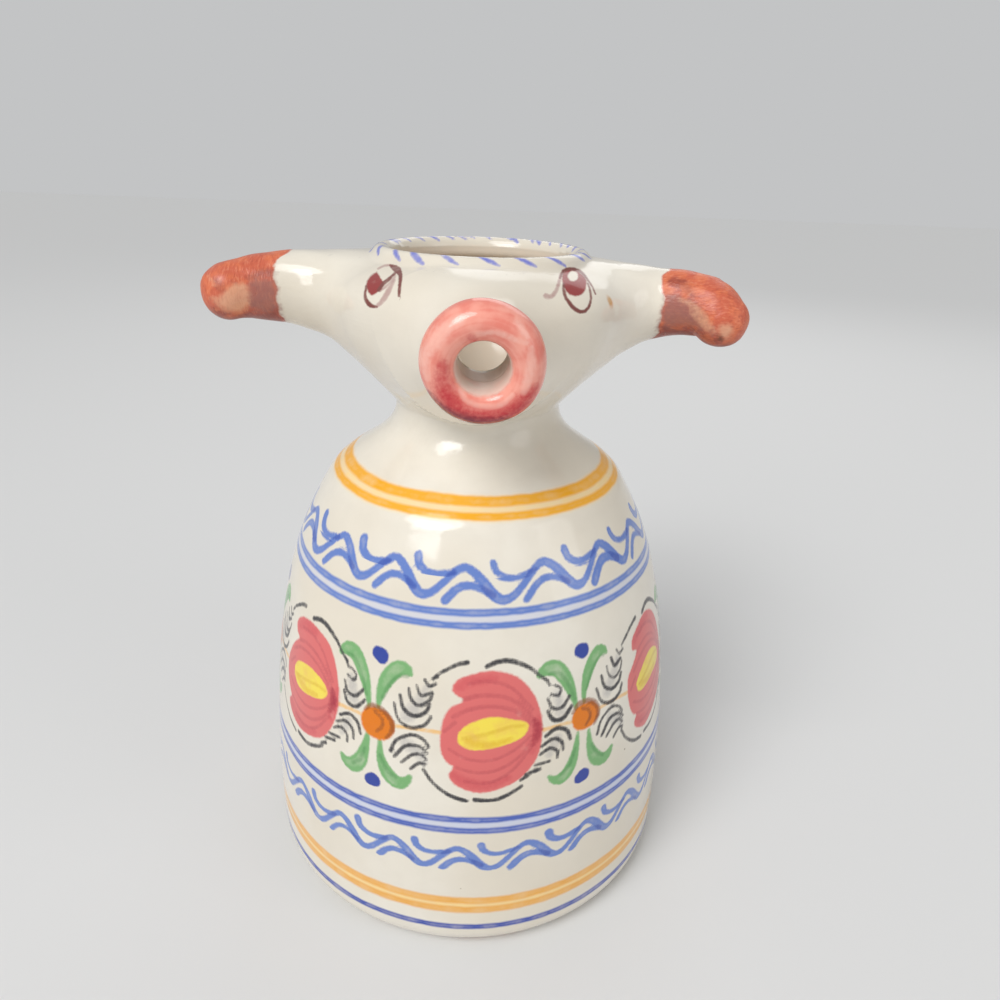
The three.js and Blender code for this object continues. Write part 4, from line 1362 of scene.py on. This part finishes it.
# The pale strokes are partly painted highlight; the deep and plum strokes round the bottom are partly
# painted shade.
ring_marks = {
    "deep": [
        [(-9, 1.6, 0.7), (-9.2, -2.6, 1.6), (-8.1, -6.4, 2.2), (-5.4, -9.9, 2.4), (-1.6, -11.4, 2.6),
         (2.9, -11.2, 2.4), (7.1, -9.4, 2.1), (9.9, -6.1, 1.6), (11.6, -3.6, 0.7)],
        [(-2.8, 7.7, 0.5), (-2.3, 7.1, 0.5)],
    ],
    "plum": [
        [(-12.4, -6.4, 0.9), (-9.9, -9.6, 1.6), (-6.5, -11.9, 2.1), (-2.5, -13, 2.2), (1.6, -13.2, 1.9),
         (5.9, -12.1, 1.0)],
    ],
    "bloom": [
        [(-1.4, 8.8, 0.3), (2.9, 9.1, 0.45), (6, 8, 0.45), (9.2, 6.9, 0.3)],
        [(6.6, 11.4, 0.3), (7.8, 10.2, 0.5), (9.2, 8.1, 0.4)],
        [(10.2, 5.7, 0.5), (10.5, 2, 0.9), (9.9, -2, 0.9), (9.2, -4.5, 0.5)],
        [(-12.6, -2, 0.6), (-13, 2.2, 1.0), (-11.2, 5.7, 1.2), (-8.5, 9.2, 1.2), (-5, 11.6, 0.7)],
        [(-5, -4.7, 0.3), (-3.6, -7.1, 0.35), (-0.2, -8.3, 0.35), (4, -7.9, 0.35), (6.7, -5.4, 0.3)],
        [(-14.6, 3, 0.5), (-14.4, 1.4, 0.6)],
    ],
}
for name, marks in ring_marks.items():
    fields = blank(points)
    paint(fields, EVERYWHERE, points, [stroke(mark, 14) for mark in marks])
    store(ring, name, fields[0])
store(ring, "bore", spread - BORE_RADIUS - 0.4)
coarse_bristles = np.sin(spread * 5.2 + 0.9 * np.sin(bearing * 2))
fine_bristles = 0.6 * np.sin(spread * 9.1 + bearing * 3)
store(ring, "bristle", coarse_bristles + fine_bristles)
tree, shader, _, skin = painted_glaze(ring, "pink glaze")
bristled = calc(tree, "MULTIPLY_ADD", attribute(tree, "bristle"), 0.045, skin["Load"])
coral = mixed(tree, ranged(tree, bristled, 0.3, 0.7), pigment(246, 166, 148), pigment(234, 134, 118))
# Painted shade in the deep and plum layers, painted highlight in the pale strokes.
brushed = layered(tree, skin, coral, bristled, [
    ("deep", pigment(198, 48, 56), 1.1, 2.0, 0),
    ("bloom", pigment(250, 204, 188), 0.6, 1.0, 0),
    ("plum", pigment(116, 42, 56), 0.9, 1.5, 0),
    BORE_LAYER,
])
tree.links.new(brushed, shader.inputs["Base Color"])
dull_in_bore(tree, shader, skin)


# The floor is the thick round slab under the wall. The glaze comes down its rounded heel and was wiped
# back before firing, so the foot and the underside are bare sandy clay with the cutting wire's marks.
SLAB_STEPS, SLAB_WEDGES = 360, 6
heel_radii, heel_heights = np.array(heel).T
side_heights = np.linspace(0, FLOOR_THICKNESS, 18)[1:]
floor_profile = [(float(radius), 0) for radius in np.linspace(0, FOOT_RADIUS - 4, 12)]
floor_profile += [(float(radius), 0) for radius in np.linspace(FOOT_RADIUS - 3.4, FOOT_RADIUS, 8)]
floor_profile += [(float(np.interp(z, heel_heights, heel_radii)), float(z)) for z in side_heights]
floor_profile += [(0, FLOOR_THICKNESS)]
slab_mesh = spun(floor_profile, SLAB_STEPS, closed=False, wedges=SLAB_WEDGES)
slab = finish_mesh("base_slab", slab_mesh)
for face in slab.data.polygons:
    face.use_smooth = abs(face.normal.z) < 0.999
shade_from(slab, lambda points: wall_distance(points, 0))
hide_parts("floor")
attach(slab, "root")
points = places_of(slab)
bearing = np.radians(turned_angle(points))
wiped = 0.9 + 0.3 * np.sin(bearing * 3 + 1) + 0.2 * np.sin(bearing * 11) + 0.12 * np.sin(bearing * 29)
store(slab, "bare", points[:, 2] - wiped)
tree, shader, colour, skin = painted_glaze(slab, "slab glaze")
place = place_in_mm(tree)
wiped_edge = calc(tree, "MULTIPLY_ADD", skin["Hand"], 0.5, attribute(tree, "bare"))
bare = ranged(tree, wiped_edge, 0.05, 0.45, 1, 0)
sand = mixed(tree, noise(tree, place, 0.5, 6), pigment(222, 182, 144), pigment(196, 148, 108))
grains = ranged(tree, noise(tree, place, 2.6, 2), 0.62, 0.7)
grit = mixed(tree, grains, sand, pigment(150, 106, 78))
tree.links.new(mixed(tree, bare, colour, grit), shader.inputs["Base Color"])
tree.links.new(ranged(tree, bare, 0, 1, 0.1, 0.82), shader.inputs["Roughness"])
WIRE_MIDDLE = (38, -90, 0)
from_middle = add_node(tree, "VectorMath", {0: place, 1: WIRE_MIDDLE}, operation="SUBTRACT").outputs[0]
wire_marks = {"Vector": from_middle, "Scale": 0.16, "Distortion": 1.5, "Detail": 2}
wire = add_node(tree, "TexWave", wire_marks, wave_type="RINGS", rings_direction="Z").outputs["Fac"]
grain_height = calc(tree, "MULTIPLY", noise(tree, place, 1.6, 5), 0.25)
relief = calc(tree, "MULTIPLY", calc(tree, "MULTIPLY_ADD", wire, 0.12, grain_height), bare)
tree.links.new(bumped(tree, relief, skin["Normal"]), shader.inputs["Normal"])
